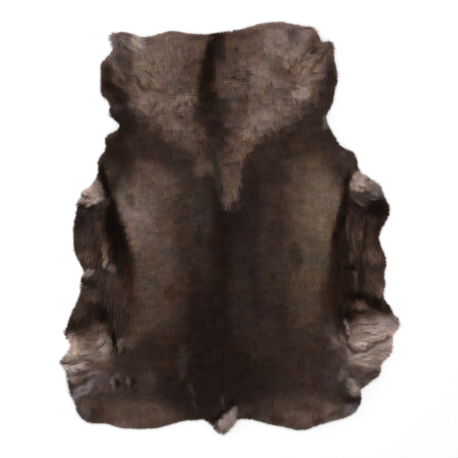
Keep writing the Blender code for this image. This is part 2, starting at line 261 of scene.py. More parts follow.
# Patches of the coat, one over another: place, across, down, half width, half length, turn in
# degrees where it has one, tone, strength
PATCHES = (
    ("back", 222, 300, 84, 165, "peat", 1.0),
    ("back right", 258, 262, 30, 80, "plum", 0.85),
    ("back grey", 240, 300, 14, 56, "bark", 0.6),
    ("left loin", 178, 232, 36, 105, 3, "umber", 0.7),
    ("left loin grey", 199, 208, 17, 38, "pewter", 0.6),
    ("left flank", 150, 245, 30, 110, 5, "dun", 0.75),
    ("left flank crest", 137, 212, 18, 42, 12, "oat", 0.85),
    # The fold beside the left flank: painted shade in it at its head, its foot and its inner fold,
    # and painted highlight on its edge at its rim
    ("left fold head", 113, 190, 5, 8, "peat", 0.9),
    ("left fold foot", 125, 231, 4, 9, "peat", 0.8),
    ("left flank head", 112, 172, 8, 6, "umber", 0.6),
    ("left flank rim", 136, 216, 6, 5, "cream", 0.5),
    ("left flank inner fold", 129, 198, 6, 10, "umber", 0.7),
    ("left flank shade", 127, 160, 9, 26, 12, "loam", 0.7),
    ("left flank glint", 149, 200, 8, 12, "oat", 0.8),
    ("left flank dimple", 147, 230, 6, 6, "dun", 0.7),
    ("left flank end", 139, 332, 12, 10, "fawn", 0.6),
    ("left flank band", 160, 188, 28, 16, 25, "dun", 0.75),
    ("left flank low", 150, 300, 24, 40, "umber", 0.35),
    ("left loin shade", 191, 274, 17, 56, "bark", 0.65),
    ("left loin dark", 198, 314, 14, 40, "loam", 0.7),
    ("left loin low", 199, 236, 6, 12, "loam", 0.5),
    ("left loin fold", 195, 275, 7, 12, "loam", 0.5),
    ("left flank brown", 170, 294, 8, 12, "walnut", 0.75),
    ("right loin", 276, 240, 22, 90, -3, "umber", 0.5),
    ("right loin grey", 279, 262, 12, 24, "pewter", 0.5),
    ("right loin low", 264, 338, 22, 28, "umber", 0.35),
    ("right loin shade", 296, 263, 11, 27, "bark", 0.75),
    ("right flank", 309, 235, 25, 112, -2, "fawn", 0.8),
    ("right flank crest", 321, 204, 21, 38, -4, "flax", 0.95),
    # Painted shade in the hollow beside the right flank
    ("right flank hollow", 295, 257, 8, 19, "bark", 0.8),
    ("right flank tip", 329, 202, 5, 7, "oat", 0.8),
    ("right flank glint", 326, 239, 7, 6, "oat", 0.6),
    ("right flank mark", 313, 257, 6, 10, "umber", 0.4),
    ("right flank olive", 316, 219, 6, 8, "fawn", 0.5),
    ("right flank rim", 338, 208, 5, 9, "umber", 0.9),
    ("right flank inner", 290, 176, 12, 22, "dun", 0.75),
    ("right flank end", 306, 312, 26, 28, "umber", 0.5),
    ("right flank end shade", 327, 297, 9, 22, "walnut", 0.8),
    ("right flank foot", 326, 331, 16, 9, "dun", 0.7),
    ("withers left", 182, 168, 34, 22, -25, "bark", 0.5),
    ("withers right", 264, 168, 34, 34, 10, "bark", 0.85),
    ("withers left pale", 150, 174, 26, 14, -10, "dun", 0.8),
    ("left belly", 90, 250, 30, 66, "bark", 0.95),
    ("left belly top", 83, 222, 13, 16, "plum", 0.7),
    ("left belly grey edge", 80, 234, 7, 16, "lead", 0.35),
    ("left belly olive", 85, 240, 6, 5, "olive", 0.6),
    ("left belly blush", 86, 256, 10, 7, "dun", 0.6),
    # Painted highlights on a fold and a knob of the left belly strip
    ("left belly fold", 98, 230, 4, 9, "umber", 0.8),
    ("left belly knob", 103, 247, 5, 6, "dun", 0.8),
    ("left belly spot", 112, 267, 5, 5, "oat", 0.85),
    ("left belly side", 112, 281, 10, 13, "umber", 0.7),
    ("left belly pale edge", 88, 272, 6.5, 4.5, 10, "cream", 0.7),
    ("left belly rim", 81, 284, 4, 5, "slate", 0.6),
    ("left belly grey", 98, 277, 7, 7, "lead", 0.5),
    ("left belly low", 92, 296, 12, 9, "umber", 0.8),
    ("left belly folds", 122, 296, 18, 20, "umber", 0.4),
    # Painted shade in the hollow and the groin at the foot of the left belly strip
    ("left belly hollow", 97, 311, 15, 9, -25, "peat", 0.95),
    ("left groin", 102, 318, 6, 9, "soot", 0.7),
    ("left belly end", 77, 311, 9, 9, 20, "umber", 0.7),
    ("right belly", 358, 248, 26, 68, "bark", 0.95),
    ("left belly dark", 78, 221, 6, 10, "peat", 0.8),
    ("right belly inner", 341, 266, 9, 58, "loam", 0.85),
    ("right belly dark", 348, 288, 8, 22, "peat", 0.9),
    # Painted highlights on the fold and the knobs of the right belly strip
    ("right belly fold", 357, 238, 7, 14, "umber", 0.7),
    ("right belly side", 353, 256, 5, 6, "umber", 0.7),
    ("right belly outer", 374, 256, 10, 11, "dun", 0.8),
    ("right belly outer low", 377, 283, 10, 17, "umber", 0.8),
    ("right belly rim", 381, 295, 6, 11, "smoke", 0.9),
    # Painted shade in the gap between its folds
    ("right belly gap", 361, 276, 4, 18, "loam", 0.85),
    # Painted shade under the right foreleg flap
    ("right belly top", 375, 209, 17, 9, -10, "soot", 0.85),
    ("right belly edge", 379, 228, 6, 14, "peat", 0.8),
    # Painted shade in the pit under a knob
    ("right belly pit", 350, 267, 8, 3, -12, "soot", 0.8),
    ("right belly glint low", 355, 273, 3, 5, "umber", 0.7),
    # Painted shade in the hollow, and painted highlight on the knob below it
    ("right belly hollow", 357, 297, 14, 5.5, "soot", 1.0),
    ("right belly knob", 361, 307, 8, 6, -35, "dun", 0.9),
    ("right belly end", 378, 305, 15, 9, -25, "soot", 0.9),
    ("right belly corner", 384, 302, 6, 8, "bark", 0.8),
    ("rump left", 132, 374, 46, 44, "bark", 0.8),
    ("rump right", 312, 366, 50, 50, "bark", 0.75),
    ("rump corner left", 100, 406, 32, 18, "umber", 0.85),
    ("rump rim left", 121, 424, 13, 5, "smoke", 0.8),
    # Painted shade in the hollow
    ("rump hollow right", 335, 380, 8, 7, "walnut", 0.8),
    ("rump edge left", 144, 414, 50, 18, "dun", 0.75),
    ("rump edge right", 302, 407, 52, 18, "umber", 0.9),
    ("rump corner right", 304, 420, 52, 10, "smoke", 0.8),
    ("rump rim right", 277, 419, 9, 7, "walnut", 0.75),
    # Painted shade in the fold
    ("rump rim fold", 318, 420, 7, 6, "bark", 0.7),
    ("rump beside tail", 246, 410, 9, 6, "umber", 0.7),
    ("rump right blush", 313, 401, 8, 7, "dun", 0.5),
    ("rump left blush", 146, 392, 9, 8, "umber", 0.6),
    ("rump tip right", 331, 410, 13, 8, -25, "smoke", 0.8),
    ("rump end right", 349, 409, 10, 8, "slate", 0.85),
    ("rump blush right", 288, 421, 18, 6, 10, "walnut", 0.35),
    ("rump dark", 190, 384, 34, 40, "peat", 0.7),
    ("loin brown", 166, 350, 21, 26, "walnut", 0.85),
    ("loin dark brown", 170, 352, 7, 12, "peat", 0.4),
    ("rump grey", 181, 362, 6, 20, 4, "lead", 0.5),
    ("rump pale left", 146, 378, 12, 10, "umber", 0.6),
    ("rump olive", 186, 352, 7, 8, "olive", 0.25),
    ("rump lilac", 124, 398, 14, 6, -10, "lead", 0.5),
    ("rump dark left", 96, 410, 9, 7, "bark", 0.5),
    ("rump fold left", 128, 405, 6, 8, "olive", 0.4),
    ("neck left mid", 152, 76, 34, 38, "smoke", 0.95),
    ("neck left strip", 126, 80, 8, 11, -30, "bark", 0.6),
    ("neck left strip high", 126, 66, 9, 6, "bark", 0.55),
    ("neck left crest", 140, 62, 11, 14, "ash", 0.6),
    ("neck left glint", 179, 100, 13, 6, 10, "ash", 0.8),
    ("neck left low glint", 174, 119, 10, 7, "oat", 0.6),
    ("neck left of stripe", 188, 53, 5, 9, "oat", 0.6),
    ("neck left waist", 133, 93, 7, 6, "umber", 0.5),
    ("neck left swell", 165, 89, 6, 6, "oat", 0.5),
    ("neck right swell", 256, 79, 7, 6, "dun", 0.6),
    ("neck right edge inner", 303, 108, 6, 5, "bark", 0.6),
    ("neck left lock", 138, 42, 7, 7, -30, "bone", 0.5),
    ("waist left glow", 130, 116, 8, 6, "umber", 0.5),
    ("neck right foot", 252, 118, 6, 8, "umber", 0.6),
    ("neck left brow", 162, 54, 7, 6, "ash", 0.6),
    ("neck left corner", 116, 40, 10, 7, "slate", 0.8),
    ("neck left corner low", 112, 57, 6, 8, "slate", 0.8),
    ("neck left top", 172, 44, 34, 10, "oat", 0.5),
    ("neck left corner", 121, 42, 14, 12, "slate", 0.6),
    ("neck top edge left", 165, 36, 30, 6, "ash", 0.8),
    ("neck left grey", 120, 62, 12, 9, "lead", 0.6),
    ("neck left low", 163, 112, 32, 16, -18, "smoke", 0.7),
    ("neck left inner low", 187, 117, 13, 15, "umber", 0.75),
    ("neck left end", 170, 132, 12, 7, 25, "dun", 0.6),
    ("neck left pale", 147, 99, 9, 8, -10, "ash", 0.6),
    ("neck left inner", 192, 62, 11, 30, "umber", 0.35),
    ("neck left olive", 184, 84, 12, 14, "olive", 0.35),
    ("neck right low", 268, 112, 34, 15, 20, "smoke", 1.0),
    ("neck right low pale", 262, 122, 17, 13, 40, "ash", 0.6),
    ("neck right mid", 268, 72, 36, 34, "smoke", 0.75),
    ("neck right inner", 264, 75, 17, 15, "ash", 0.6),
    ("neck right dimple", 282, 71, 13, 9, "umber", 0.6),
    ("neck right shoulder", 309, 75, 12, 12, "ash", 0.7),
    ("neck right shoulder lock", 312, 66, 7, 6, "cream", 1.0),
    ("neck right shoulder mark", 297, 70, 6, 6, "dun", 1.0),
    ("neck right lock", 288, 63, 6, 5, "ash", 0.8),
    ("neck right lock low", 297, 86, 4, 5, "cream", 0.7),
    ("neck right crown", 295, 54, 14, 9, "ash", 0.75),
    ("neck right furrow", 243, 104, 7, 10, "umber", 0.75),
    ("neck right breast", 270, 104, 11, 8, "oat", 0.6),
    ("neck right pale", 301, 93, 12, 9, 25, "cream", 0.85),
    ("neck right upper", 308, 66, 20, 18, 30, "oat", 0.75),
    ("neck right upper lock", 312, 67, 5, 4, "cream", 0.7),
    ("neck right top", 282, 42, 24, 13, "ash", 0.65),
    ("neck top edge right", 276, 28, 40, 9, -6, "ash", 0.8),
    ("neck top dimple", 293, 36, 7, 9, "umber", 0.55),
    ("neck top edge end", 314, 31, 8, 6, "ash", 0.75),
    ("neck right corner", 316, 42, 18, 14, "oat", 0.5),
    ("neck right notch", 316, 52, 6, 7, "bark", 1.0),
    ("neck right tip", 328, 48, 5, 9, "ash", 0.7),
    # Darker along the neck's side edges, where the hide rolls over: painted shade
    ("neck left edge", 106, 80, 9, 17, "bark", 0.95),
    ("neck left edge dark", 109, 87, 10, 8, -20, "peat", 0.9),
    ("neck left edge low", 121, 96, 10, 9, -30, "peat", 0.9),
    ("neck left waist", 122, 124, 17, 16, -25, "peat", 0.85),
    ("neck left knob", 115, 107, 7, 4.5, "lead", 0.95),
    ("neck right edge", 331, 86, 8, 30, "bark", 0.9),
    ("neck right edge low", 323, 95, 6, 13, "bark", 0.85),
    ("neck right waist", 321, 112, 22, 12, 20, "bark", 0.95),
    ("dorsal left shade", 198, 108, 7, 30, "bark", 0.7),
    ("mane centre", 230, 122, 13, 22, "umber", 0.5),
    ("dorsal right", 231, 56, 11, 17, "umber", 0.8),
    ("dorsal right low", 225, 105, 8, 14, "bark", 0.8),
    ("dorsal foot", 220, 131, 9, 6, "soot", 0.85),
    ("dorsal foot right", 229, 154, 5, 8, "bark", 0.7),
    ("mane right shade", 236, 80, 12, 10, "umber", 0.65),
    ("mane centre low", 213, 149, 16, 20, "bark", 0.75),
    ("mane lilac", 199, 168, 9, 10, "dun", 0.8),
    ("mane spots", 247, 133, 9, 8, 25, "ash", 0.5),
    ("mane tongue", 231, 168, 9, 18, "umber", 0.3),
    ("tongue left", 223, 179, 6, 13, "umber", 0.8),
    ("mane ridge", 232, 195, 5, 12, -10, "smoke", 0.9),
    ("withers right dark", 252, 184, 8, 20, "peat", 0.5),
    ("shoulder left", 148, 148, 38, 12, -12, "bark", 0.9),
    ("shoulder edge left", 114, 147, 13, 14, "peat", 0.7),
    ("shoulder knob left", 100, 165, 5, 12, "lead", 0.7),
    ("shoulder right", 298, 142, 46, 15, 8, "bark", 0.85),
    ("shoulder right warm", 288, 140, 18, 8, -25, "russet", 0.7),
    ("shoulder right glow", 297, 148, 10, 5, "umber", 0.6),
    ("shoulder right bay", 291, 129, 9, 5, "umber", 0.45),
    ("shoulder edge right", 344, 156, 14, 14, -45, "lead", 0.6),
    ("left foreleg", 88, 193, 16, 11, 28, "cream", 1.0),
    ("left foreleg heel", 95, 196, 7, 6, "cream", 0.9),
    ("left foreleg top", 95, 182, 8, 8, -20, "ash", 0.85),
    ("left foreleg side", 103, 193, 4, 8, -20, "slate", 0.5),
    ("right foreleg", 360, 182, 12, 13, -15, "cream", 1.0),
    ("right foreleg crown", 361, 178, 9, 9, 20, "bone", 0.75),
    # Painted shade under the right foreleg flap
    ("right foreleg foot", 352, 202, 8, 6.5, "peat", 0.95),
    ("right foreleg end", 382, 198, 5, 7, "smoke", 0.8),
    ("right foreleg top", 358, 175, 7, 8, -30, "cream", 0.9),
    ("right foreleg grey", 375, 188, 11, 8, -35, "slate", 0.95),
    ("right foreleg brow", 373, 182.5, 4.5, 3, 30, "cream", 0.9),
    ("left haunch", 84, 358, 30, 28, "oat", 1.0),
    ("left hock", 71, 357, 9, 7, 15, "cream", 0.6),
    ("left heel", 67, 366, 8, 4, 10, "bone", 0.8),
    ("left shank rim", 78, 394, 8, 13, "slate", 0.85),
    ("left shank end", 84, 411, 7, 8, "slate", 0.5),
    ("left hock inner", 101, 371, 9, 5, "bark", 0.7),
    ("left thigh brow", 80, 331, 12, 5, 5, "bark", 0.85),
    ("left thigh edge", 70, 340, 6, 6, "ash", 0.8),
    ("left thigh", 70, 348, 8, 11, "cream", 0.7),
    ("left thigh fold", 87, 342, 5, 9, "dun", 0.75),
    # Painted shade in the hollow
    ("left thigh hollow", 89, 336, 5, 5, "umber", 0.8),
    ("left thigh inner", 103, 344, 9, 12, "cream", 0.75),
    ("left thigh top", 97, 329, 9, 5, "dun", 0.7),
    ("left loin tuft", 128, 341, 12, 6, 8, "dun", 0.55),
    ("left loin knob", 120, 344, 4, 7, "oat", 0.7),
    ("left hock pale", 73, 366.5, 11, 4, 14, "bone", 0.9),
    ("left hock shade", 99, 365, 14, 7, 8, "umber", 0.85),
    ("left hock brown", 79, 375, 15, 5.5, 14, "dun", 0.9),
    ("left shank lip", 70, 379, 5, 8, "ash", 0.75),
    ("left hock glint", 79, 367, 4.5, 3, 10, "bone", 0.8),
    ("left hock side", 68.5, 362, 4, 4, "dun", 0.5),
    ("left rear grey", 106, 382, 24, 16, 10, "lead", 0.9),
    ("left rear lilac", 102, 377, 9, 12, "slate", 0.3),
    ("left whorl", 117, 382, 4, 4, "soot", 0.8),
    ("left whorl right", 132, 382, 3, 6, "peat", 0.8),
    ("left whorl middle", 125.5, 380, 4, 6, "peat", 0.8),
    ("left corner grey", 82, 402, 9, 14, -30, "dun", 0.6),
    ("right rear grey", 334, 372, 14, 20, "lead", 0.9),
    ("right haunch", 374, 346, 37, 36, "ash", 1.0),
    ("right thigh", 384, 330, 22, 17, -8, "cream", 1.0),
    ("right thigh crest", 382, 334, 14, 6, -10, "bone", 0.6),
    ("right thigh inner", 356, 331, 7, 9, "oat", 0.9),
    ("right thigh top", 356, 316, 14, 6, -6, "dun", 0.7),
    ("right thigh brow", 365, 322, 14, 5.5, -4, "ash", 0.9),
    ("right thigh brow shade", 364, 318, 6, 2, "umber", 0.6),
    ("right thigh dimple", 371, 314, 7, 5, "umber", 0.8),
    ("right thigh tip", 391, 321, 9, 7, "slate", 0.8),
    ("right hock", 361, 359, 15, 7.5, 8, "cream", 0.9),
    ("right hock shade", 363, 367, 14, 7, "dun", 0.8),
    ("right thigh end", 389, 351, 6, 6, "cream", 0.8),
    ("right hock outer", 375, 363, 9, 6, "oat", 0.7),
    ("right hock low", 370, 376, 15, 7, 28, "dun", 0.9),
    ("right shank", 352, 384, 8, 11, -35, "slate", 0.95),
    ("right shank top", 343, 373, 5, 8, -20, "smoke", 0.7),
    ("right hock root", 353, 375, 6, 3, "bark", 0.8),
    ("right thigh root", 342, 335, 5, 6, "oat", 0.7),
    ("right shank tip", 356, 390, 7, 8, "ash", 0.8),
    ("right shank shade", 342, 389, 5, 11, -10, "bark", 0.7),
    ("right loin tuft", 337, 343, 9, 8, -30, "dun", 0.7),
    ("neck top brow left", 124, 36, 5, 3, "ash", 0.6),
    ("withers foot", 241, 198, 3, 6, "umber", 0.5),
    ("waist right rim", 326, 122, 5, 10, "slate", 0.75),
    ("shoulder right lip", 345, 151, 7, 4, 35, "dun", 0.6),
    ("waist left rim", 111, 136, 6, 6, "dun", 0.5),
    ("right flank lip", 339, 209, 4, 7, "oat", 0.6),
    ("rump lip right", 329, 413, 5, 3.5, "oat", 0.7))

# Lines of the coat: place, from (across, down), to (across, down), half width, tone, strength
STREAKS = (
    ("dorsal top right", (216, 22), (216, 64), 8, "peat", 0.95),
    ("dorsal right shade", (221, 60), (217, 98), 6, "umber", 0.6),
    ("dorsal stripe top", (205, 40), (206, 56), 5, "dun", 0.8),
    ("dorsal stripe core", (210, 44), (209.5, 62), 4.5, "soot", 0.95),
    ("dorsal stripe", (208, 60), (206, 94), 7.5, "soot", 0.95),
    ("dorsal stripe low", (207, 90), (209, 116), 11.5, "peat", 1.0),
    ("dorsal stripe end", (211, 110), (217, 140), 9.5, "peat", 0.95),
    ("dorsal furrow", (213, 136), (216, 174), 4, "bark", 0.95),
    ("dorsal furrow low", (216, 168), (220, 198), 3.2, "bark", 0.95),
    ("dorsal step", (206, 117), (230, 119), 2.6, "bark", 0.7),
    ("dorsal step low", (214, 128), (234, 133), 3, "bark", 0.8),
    ("neck pale streak", (131, 47), (142, 57), 2, "bone", 0.8),
    ("neck pale streak high", (134, 34), (142, 45), 3.2, "cream", 0.8),
    ("neck corner shade", (117, 43), (128, 52), 2.2, "umber", 0.8),
    ("neck grey streak", (116, 54), (124, 62), 2.4, "umber", 0.6),
    ("neck thin streak", (107, 59), (125, 81), 2.2, "oat", 0.85),
    ("neck right streak", (296, 60), (317, 43), 2.2, "umber", 0.8),
    ("neck right light", (302, 66), (324, 48), 2.4, "ash", 0.7),
    ("neck right streak low", (308, 71), (333, 42), 2.4, "umber", 0.7),
    ("neck top curve", (266, 38), (270, 48), 3, "ash", 0.4),
    ("neck top curve low", (273, 54), (302, 58), 3.5, "ash", 0.7),
    # Painted shade in the partings where the rows of tips part across the neck, and painted light
    # in the dashes on the rows
    ("neck left parting", (136, 78), (145, 87), 2, "bark", 0.8),
    ("neck left parting low", (144, 87), (166, 90), 2, "umber", 0.8),
    ("mane right parting", (222, 76), (250, 76), 2.2, "bark", 0.7),
    ("mane right dashes", (220, 82), (236, 82), 1.6, "smoke", 0.6),
    ("neck left dashes", (174, 98), (196, 97), 1.8, "ash", 0.7),
    ("neck left dashes low", (168, 110), (194, 109), 1.8, "ash", 0.6),
    ("neck left dashes end", (172, 127), (198, 129), 2.2, "ash", 0.5),
    # Paler hair along the flanks' edges by the creases, with a painted highlight on each fold's
    # edge
    ("left flank edge", (118, 194), (134, 248), 6.5, "oat", 0.9),
    ("left flank edge end", (131, 249), (134, 276), 3.4, "bark", 0.7),
    ("right flank edge", (338, 184), (332, 212), 5.5, "smoke", 0.85),
    ("right flank edge low", (332, 208), (326, 252), 5, "fawn", 0.9),
    # The left crease: dark hair with painted shade deep in the fold
    ("left crease top", (101, 162), (104, 184), 2.8, "soot", 0.9),
    ("left crease high", (104, 180), (111, 210), 4, "soot", 1.0),
    ("left crease", (110, 204), (113, 226), 7, "soot", 1.0),
    ("left crease mid", (113, 220), (117, 242), 10, "soot", 1.0),
    ("left crease low", (118, 236), (122, 260), 9.5, "soot", 1.0),
    ("left crease end", (122, 254), (127, 280), 7.5, "loam", 1.0),
    ("left crease fade", (127, 272), (131, 304), 6, "walnut", 0.8),
    # Painted shade in the slit
    ("left belly slit", (107, 216), (108, 240), 2, "soot", 0.9),
    ("left belly bare", (104, 251), (104.5, 267), 2.2, "ash", 0.9),
    # Painted shade in the notch, the edge fold, and the groin's slit and lines
    ("left belly notch", (79, 281), (92, 284), 3.2, "peat", 1.0),
    ("left belly edge fold", (99, 288), (103, 306), 2.6, "bark", 0.7),
    ("left groin slit", (113, 330), (113, 347), 2, "soot", 1.0),
    ("left groin line", (107, 318), (112, 334), 1.8, "peat", 0.8),
    ("left groin tail", (114, 344), (124, 364), 2.2, "bark", 0.8),
    # The right crease: dark hair with painted shade deep in the fold
    ("right crease top", (348, 170), (346.5, 202), 3, "loam", 1.0),
    ("right crease", (345, 198), (339, 226), 5, "soot", 0.8),
    ("right crease pit", (336, 226), (335, 244), 4, "soot", 0.8),
    ("right crease low", (335, 242), (331, 292), 5, "loam", 0.7),
    ("right crease end", (334, 296), (341, 330), 5, "peat", 0.95),
    # Painted highlights on the folds and the ridge of the right belly strip, and painted shade in
    # the line between them
    ("right belly glint", (347, 216), (347.5, 240), 1.4, "dun", 0.6),
    ("right belly strip", (353, 232), (354, 246), 1.5, "dun", 0.7),
    ("right belly strip outer", (361, 230), (362, 242), 1.5, "dun", 0.6),
    ("right belly line", (366, 218), (365, 250), 2.4, "peat", 0.8),
    ("right belly ridge", (355, 274), (355.5, 290), 1.8, "umber", 0.5),
    # Painted shade under the left foreleg flap and in the crease above it
    ("left foreleg shade", (78, 205), (92, 207), 2.6, "soot", 0.95),
    ("left foreleg shade end", (90, 208), (100, 210), 2.2, "peat", 0.9),
    ("left foreleg shade heel", (100, 205), (107, 201), 2.8, "bark", 0.9),
    ("left foreleg crease", (98, 170), (101, 182), 2.6, "soot", 0.8),
    ("left foreleg under", (101, 206), (108, 197), 2, "bark", 0.9),
    ("left foreleg mark", (80, 196), (87, 195.5), 1.8, "umber", 0.9),
    # Painted shade under the right foreleg flap and in its parting
    ("right foreleg shade", (370, 202.5), (386, 202), 3.4, "soot", 0.9),
    ("right foreleg low", (352, 194), (382, 197), 3, "lead", 0.8),
    ("right foreleg parting", (354, 193), (371, 202), 1.8, "bark", 0.95),
    ("right foreleg lip", (354, 199), (367, 206), 2, "slate", 0.6),
    ("right foreleg under", (350, 202), (366, 210), 2.6, "peat", 0.8),
    # On the hind legs: the partings, pits and shade lines between the pale locks are dark roots
    # with painted shade in the grooves
    ("left thigh top shade", (68, 327), (90, 319), 5, "peat", 0.95),
    ("left thigh mark", (95, 352), (101, 343), 1.4, "umber", 0.8),
    ("left thigh lock", (66, 356), (90, 350), 1.6, "ash", 0.7),
    ("left thigh lock end", (66, 355), (75, 353.5), 1.8, "bone", 0.7),
    ("left hock parting", (60, 365), (82, 357), 1.2, "bark", 0.9),
    ("left hock pit", (82, 365), (88, 362), 2, "umber", 0.9),
    ("left hock lower parting", (67, 365.5), (87, 359.5), 1, "bark", 0.8),
    ("left hock band", (86, 359), (106, 356), 1.8, "oat", 0.5),
    ("left hock lock", (64, 368), (84, 363), 1.6, "bone", 0.9),
    ("left shank line", (70, 376), (84, 372), 1.3, "umber", 0.8),
    ("left shank crest", (88, 375), (96, 370), 2.2, "ash", 0.8),
    ("left shank parting", (68, 387), (87, 381), 1.8, "bark", 0.9),
    ("left shank", (73, 395), (95, 381), 3.4, "slate", 1.0),
    ("left shank under", (74, 402), (92, 393), 2.4, "bark", 0.5),
    ("left whorl light", (112, 377), (114, 387), 1.6, "slate", 0.9),
    ("left whorl light top", (112, 376), (119, 374), 1.4, "slate", 0.7),
    ("left whorl light right", (126.5, 376), (127.5, 385), 1.5, "slate", 0.8),
    ("right thigh rim", (344, 319), (349, 338), 1.6, "ash", 0.9),
    ("right thigh top shade", (342, 311), (353, 318), 5.5, "soot", 0.9),
    ("right thigh top line", (350, 311), (366, 312), 2.5, "peat", 0.9),
    ("right thigh tip shade", (389, 316), (395, 321), 2, "dun", 0.5),
    ("right thigh edge", (342, 330), (354, 352), 1.8, "bark", 0.95),
    ("right thigh parting", (353, 351.5), (368, 350), 1.8, "bark", 0.95),
    ("right thigh parting outer", (366, 349), (376, 343), 1.8, "bark", 0.9),
    ("right thigh foot", (350, 348), (359, 350), 1.4, "ash", 0.5),
    ("right thigh parting end", (374, 345), (392, 337), 1.5, "umber", 0.85),
    ("right thigh line", (357, 324), (378, 321), 1.1, "umber", 0.7),
    ("right thigh fine line", (362, 334), (386, 330), 1, "dun", 0.6),
    ("right thigh lock", (356, 345), (372, 343), 2.2, "bone", 0.75),
    ("right hock parting", (352, 371), (364, 371), 2.4, "umber", 0.8),
    ("right hock parting outer", (364, 373), (382, 371), 2, "bark", 0.8),
    ("right hock lip", (358, 363), (366, 365), 1.8, "bone", 0.6),
    ("right hock line", (352, 361), (376, 353), 1.1, "dun", 0.6),
    ("right hock low parting", (356, 380), (374, 375), 1.8, "bark", 0.7),
    ("right shank light", (348, 377), (353, 383), 1.8, "bone", 0.5),
    ("right shank lock", (353, 386), (358, 391), 2.6, "bone", 0.7),
    ("right shank dark", (347, 392), (351, 396), 2, "bark", 0.7),
    ("right shank under", (343, 399), (357, 400), 2.4, "peat", 0.9),
    ("right loin lock", (328, 333), (350, 352), 1.8, "oat", 0.6),
    ("right loin lock low", (326, 345), (346, 356), 1.8, "dun", 0.6),
    ("rump stroke", (188, 384), (194, 395), 1.4, "lead", 0.65),
    ("rump stroke low", (190.5, 400), (196, 410), 1.4, "pewter", 0.8),
    ("rump right line", (308, 356), (306, 386), 3, "umber", 0.5),
    ("beside the tail right", (238, 414), (242, 416), 3, "dun", 0.6),
    # Painted shade in the fold
    ("rump right fold", (320, 420), (343, 408), 2.4, "bark", 0.8),
    ("tail left", (219, 420), (219, 433), 5, "oat", 0.9),
    ("tail tuft", (227, 415), (221, 431), 8, "cream", 1.0),
    ("tail tuft top", (232, 408), (226, 415), 4, "cream", 1.0),
    ("tail tuft right", (233, 413), (230, 432), 4.5, "cream", 1.0),
    # Painted shadow of the tuft on the rump, along its root and its left side
    ("tail root", (236, 402), (226, 409), 3.6, "soot", 1.0),
    ("tail shade", (225, 409), (212, 421), 3.2, "soot", 1.0),
    ("tail side streak", (222.5, 396), (222.5, 407), 1.4, "lead", 0.9))

# How the borders of the patches wander: cell, shift, seed
RAGGED = ((0.064, 0.003, 1), (0.026, 0.003, 3), (0.009, 0.003, 70))
NOISE_CELLS = 256
OVAL_CORE, OVAL_FADE = 0.45, 0.75   # shares of an oval's half size
STREAK_TAPER = 0.5          # how much weaker a streak is at its two ends


def smooth(t):
    """0 up to 0 and 1 from 1 on, with a soft start and end between them."""
    t = np.clip(t, 0.0, 1.0)
    return t * t * (3 - 2 * t)


def patchy(x, y, wide, long, seed):
    """Smooth noise from -1 to 1, its cells wide by long metres."""
    lattice = np.random.default_rng(seed).uniform(-1, 1, (NOISE_CELLS, NOISE_CELLS))
    u, v = x / wide, y / long
    i, j = np.floor(u).astype(int), np.floor(v).astype(int)
    s, t = smooth(u - i), smooth(v - j)
    i, j, k, m = (n % NOISE_CELLS for n in (i, j, i + 1, j + 1))
    return ((lattice[i, j] * (1 - s) + lattice[k, j] * s) * (1 - t)
            + (lattice[i, m] * (1 - s) + lattice[k, m] * s) * t)


def oval(x, y, centre_x, centre_y, half_x, half_y, turn=0.0):
    """1 in the middle of an oval, fading to 0 a little past its edge."""
    c, s = math.cos(math.radians(turn)), math.sin(math.radians(turn))
    dx, dy = x - centre_x, y - centre_y
    away = np.hypot((dx * c + dy * s) / half_x, (dy * c - dx * s) / half_y)
    return 1 - smooth((away - OVAL_CORE) / OVAL_FADE)


def photo_oval(x, y, across, down, half_x, half_y, turn=0.0):
    """The same for an oval that is given in pixels of the photograph."""
    return oval(x, y, *on_hide(across, down), half_x * PIXEL, half_y * PIXEL, turn)


def mane_share(x, y):
    """1 in the mane, 0 behind its border."""
    across, along = on_hide(*np.array(MANE_BORDER).T)
    edge = np.interp(x, MANE_EDGE_TURN, MANE_EDGE)
    return smooth((y - np.interp(x, across, along)) / edge + 0.5)


def light_of(screen):
    """Red, green and blue as amounts of light, from the values of a screen, 0 to 255."""
    return ((screen / 255 + 0.055) / 1.055) ** 2.4


def coat(x, y):
    """The colour of the hair that shows at each place, as linear red, green and blue."""
    for size, shift, seed in RAGGED:
        x, y = (x + shift * patchy(x, y, size, size, seed),
                y + shift * patchy(x, y, size, size, seed + 1))
    colour = np.tile(np.array(TONES["bark"], float), (len(x), 1))

    def lay(tone, share):
        colour[:] += (np.array(TONES[tone]) - colour) * share[:, None]

    for place, *spot, tone, strength in PATCHES:
        if place == MANE_UNDER:
            lay("mane", mane_share(x, y))
        lay(tone, strength * photo_oval(x, y, *spot))
    for _, start, end, half, tone, strength in STREAKS:
        px, py = on_hide(*start)
        run = np.subtract(on_hide(*end), (px, py))
        t = np.clip(((x - px) * run[0] + (y - py) * run[1]) / run.dot(run), 0, 1)
        away = np.hypot(x - px - t * run[0], y - py - t * run[1]) / (half * PIXEL)
        lay(tone, strength * np.exp(-away ** 4) * (1 - STREAK_TAPER * np.abs(2 * t - 1) ** 3))
    return light_of(colour) * COAT_GAIN


def underfur_finish():
    finish = Finish("underfur_wool", Roughness=0.95, Specular_IOR_Level=0.05)
    colour = finish.node("ShaderNodeAttribute", {"attribute_name": "hair_colour"}, {}, "Color")
    place = finish.node("ShaderNodeTexCoord", {}, {}, out="Object")
    wool = finish.node("ShaderNodeTexNoise", {},
                       {"Vector": place, "Scale": WOOL_CRIMP, "Detail": 4.0})
    # Painted shade, darkest where the crimp's bump is lowest
    shade = finish.blend(wool, WOOL_HOLLOW_SHADE, WOOL_CREST_SHADE)
    tint = finish.node("ShaderNodeVectorMath", {"operation": "MULTIPLY"}, {0: colour, 1: shade})
    bump = finish.node("ShaderNodeBump", {},
                       {"Strength": 0.8, "Distance": WOOL_BUMP, "Height": wool})
    return finish.surface(Base_Color=tint, Normal=bump)


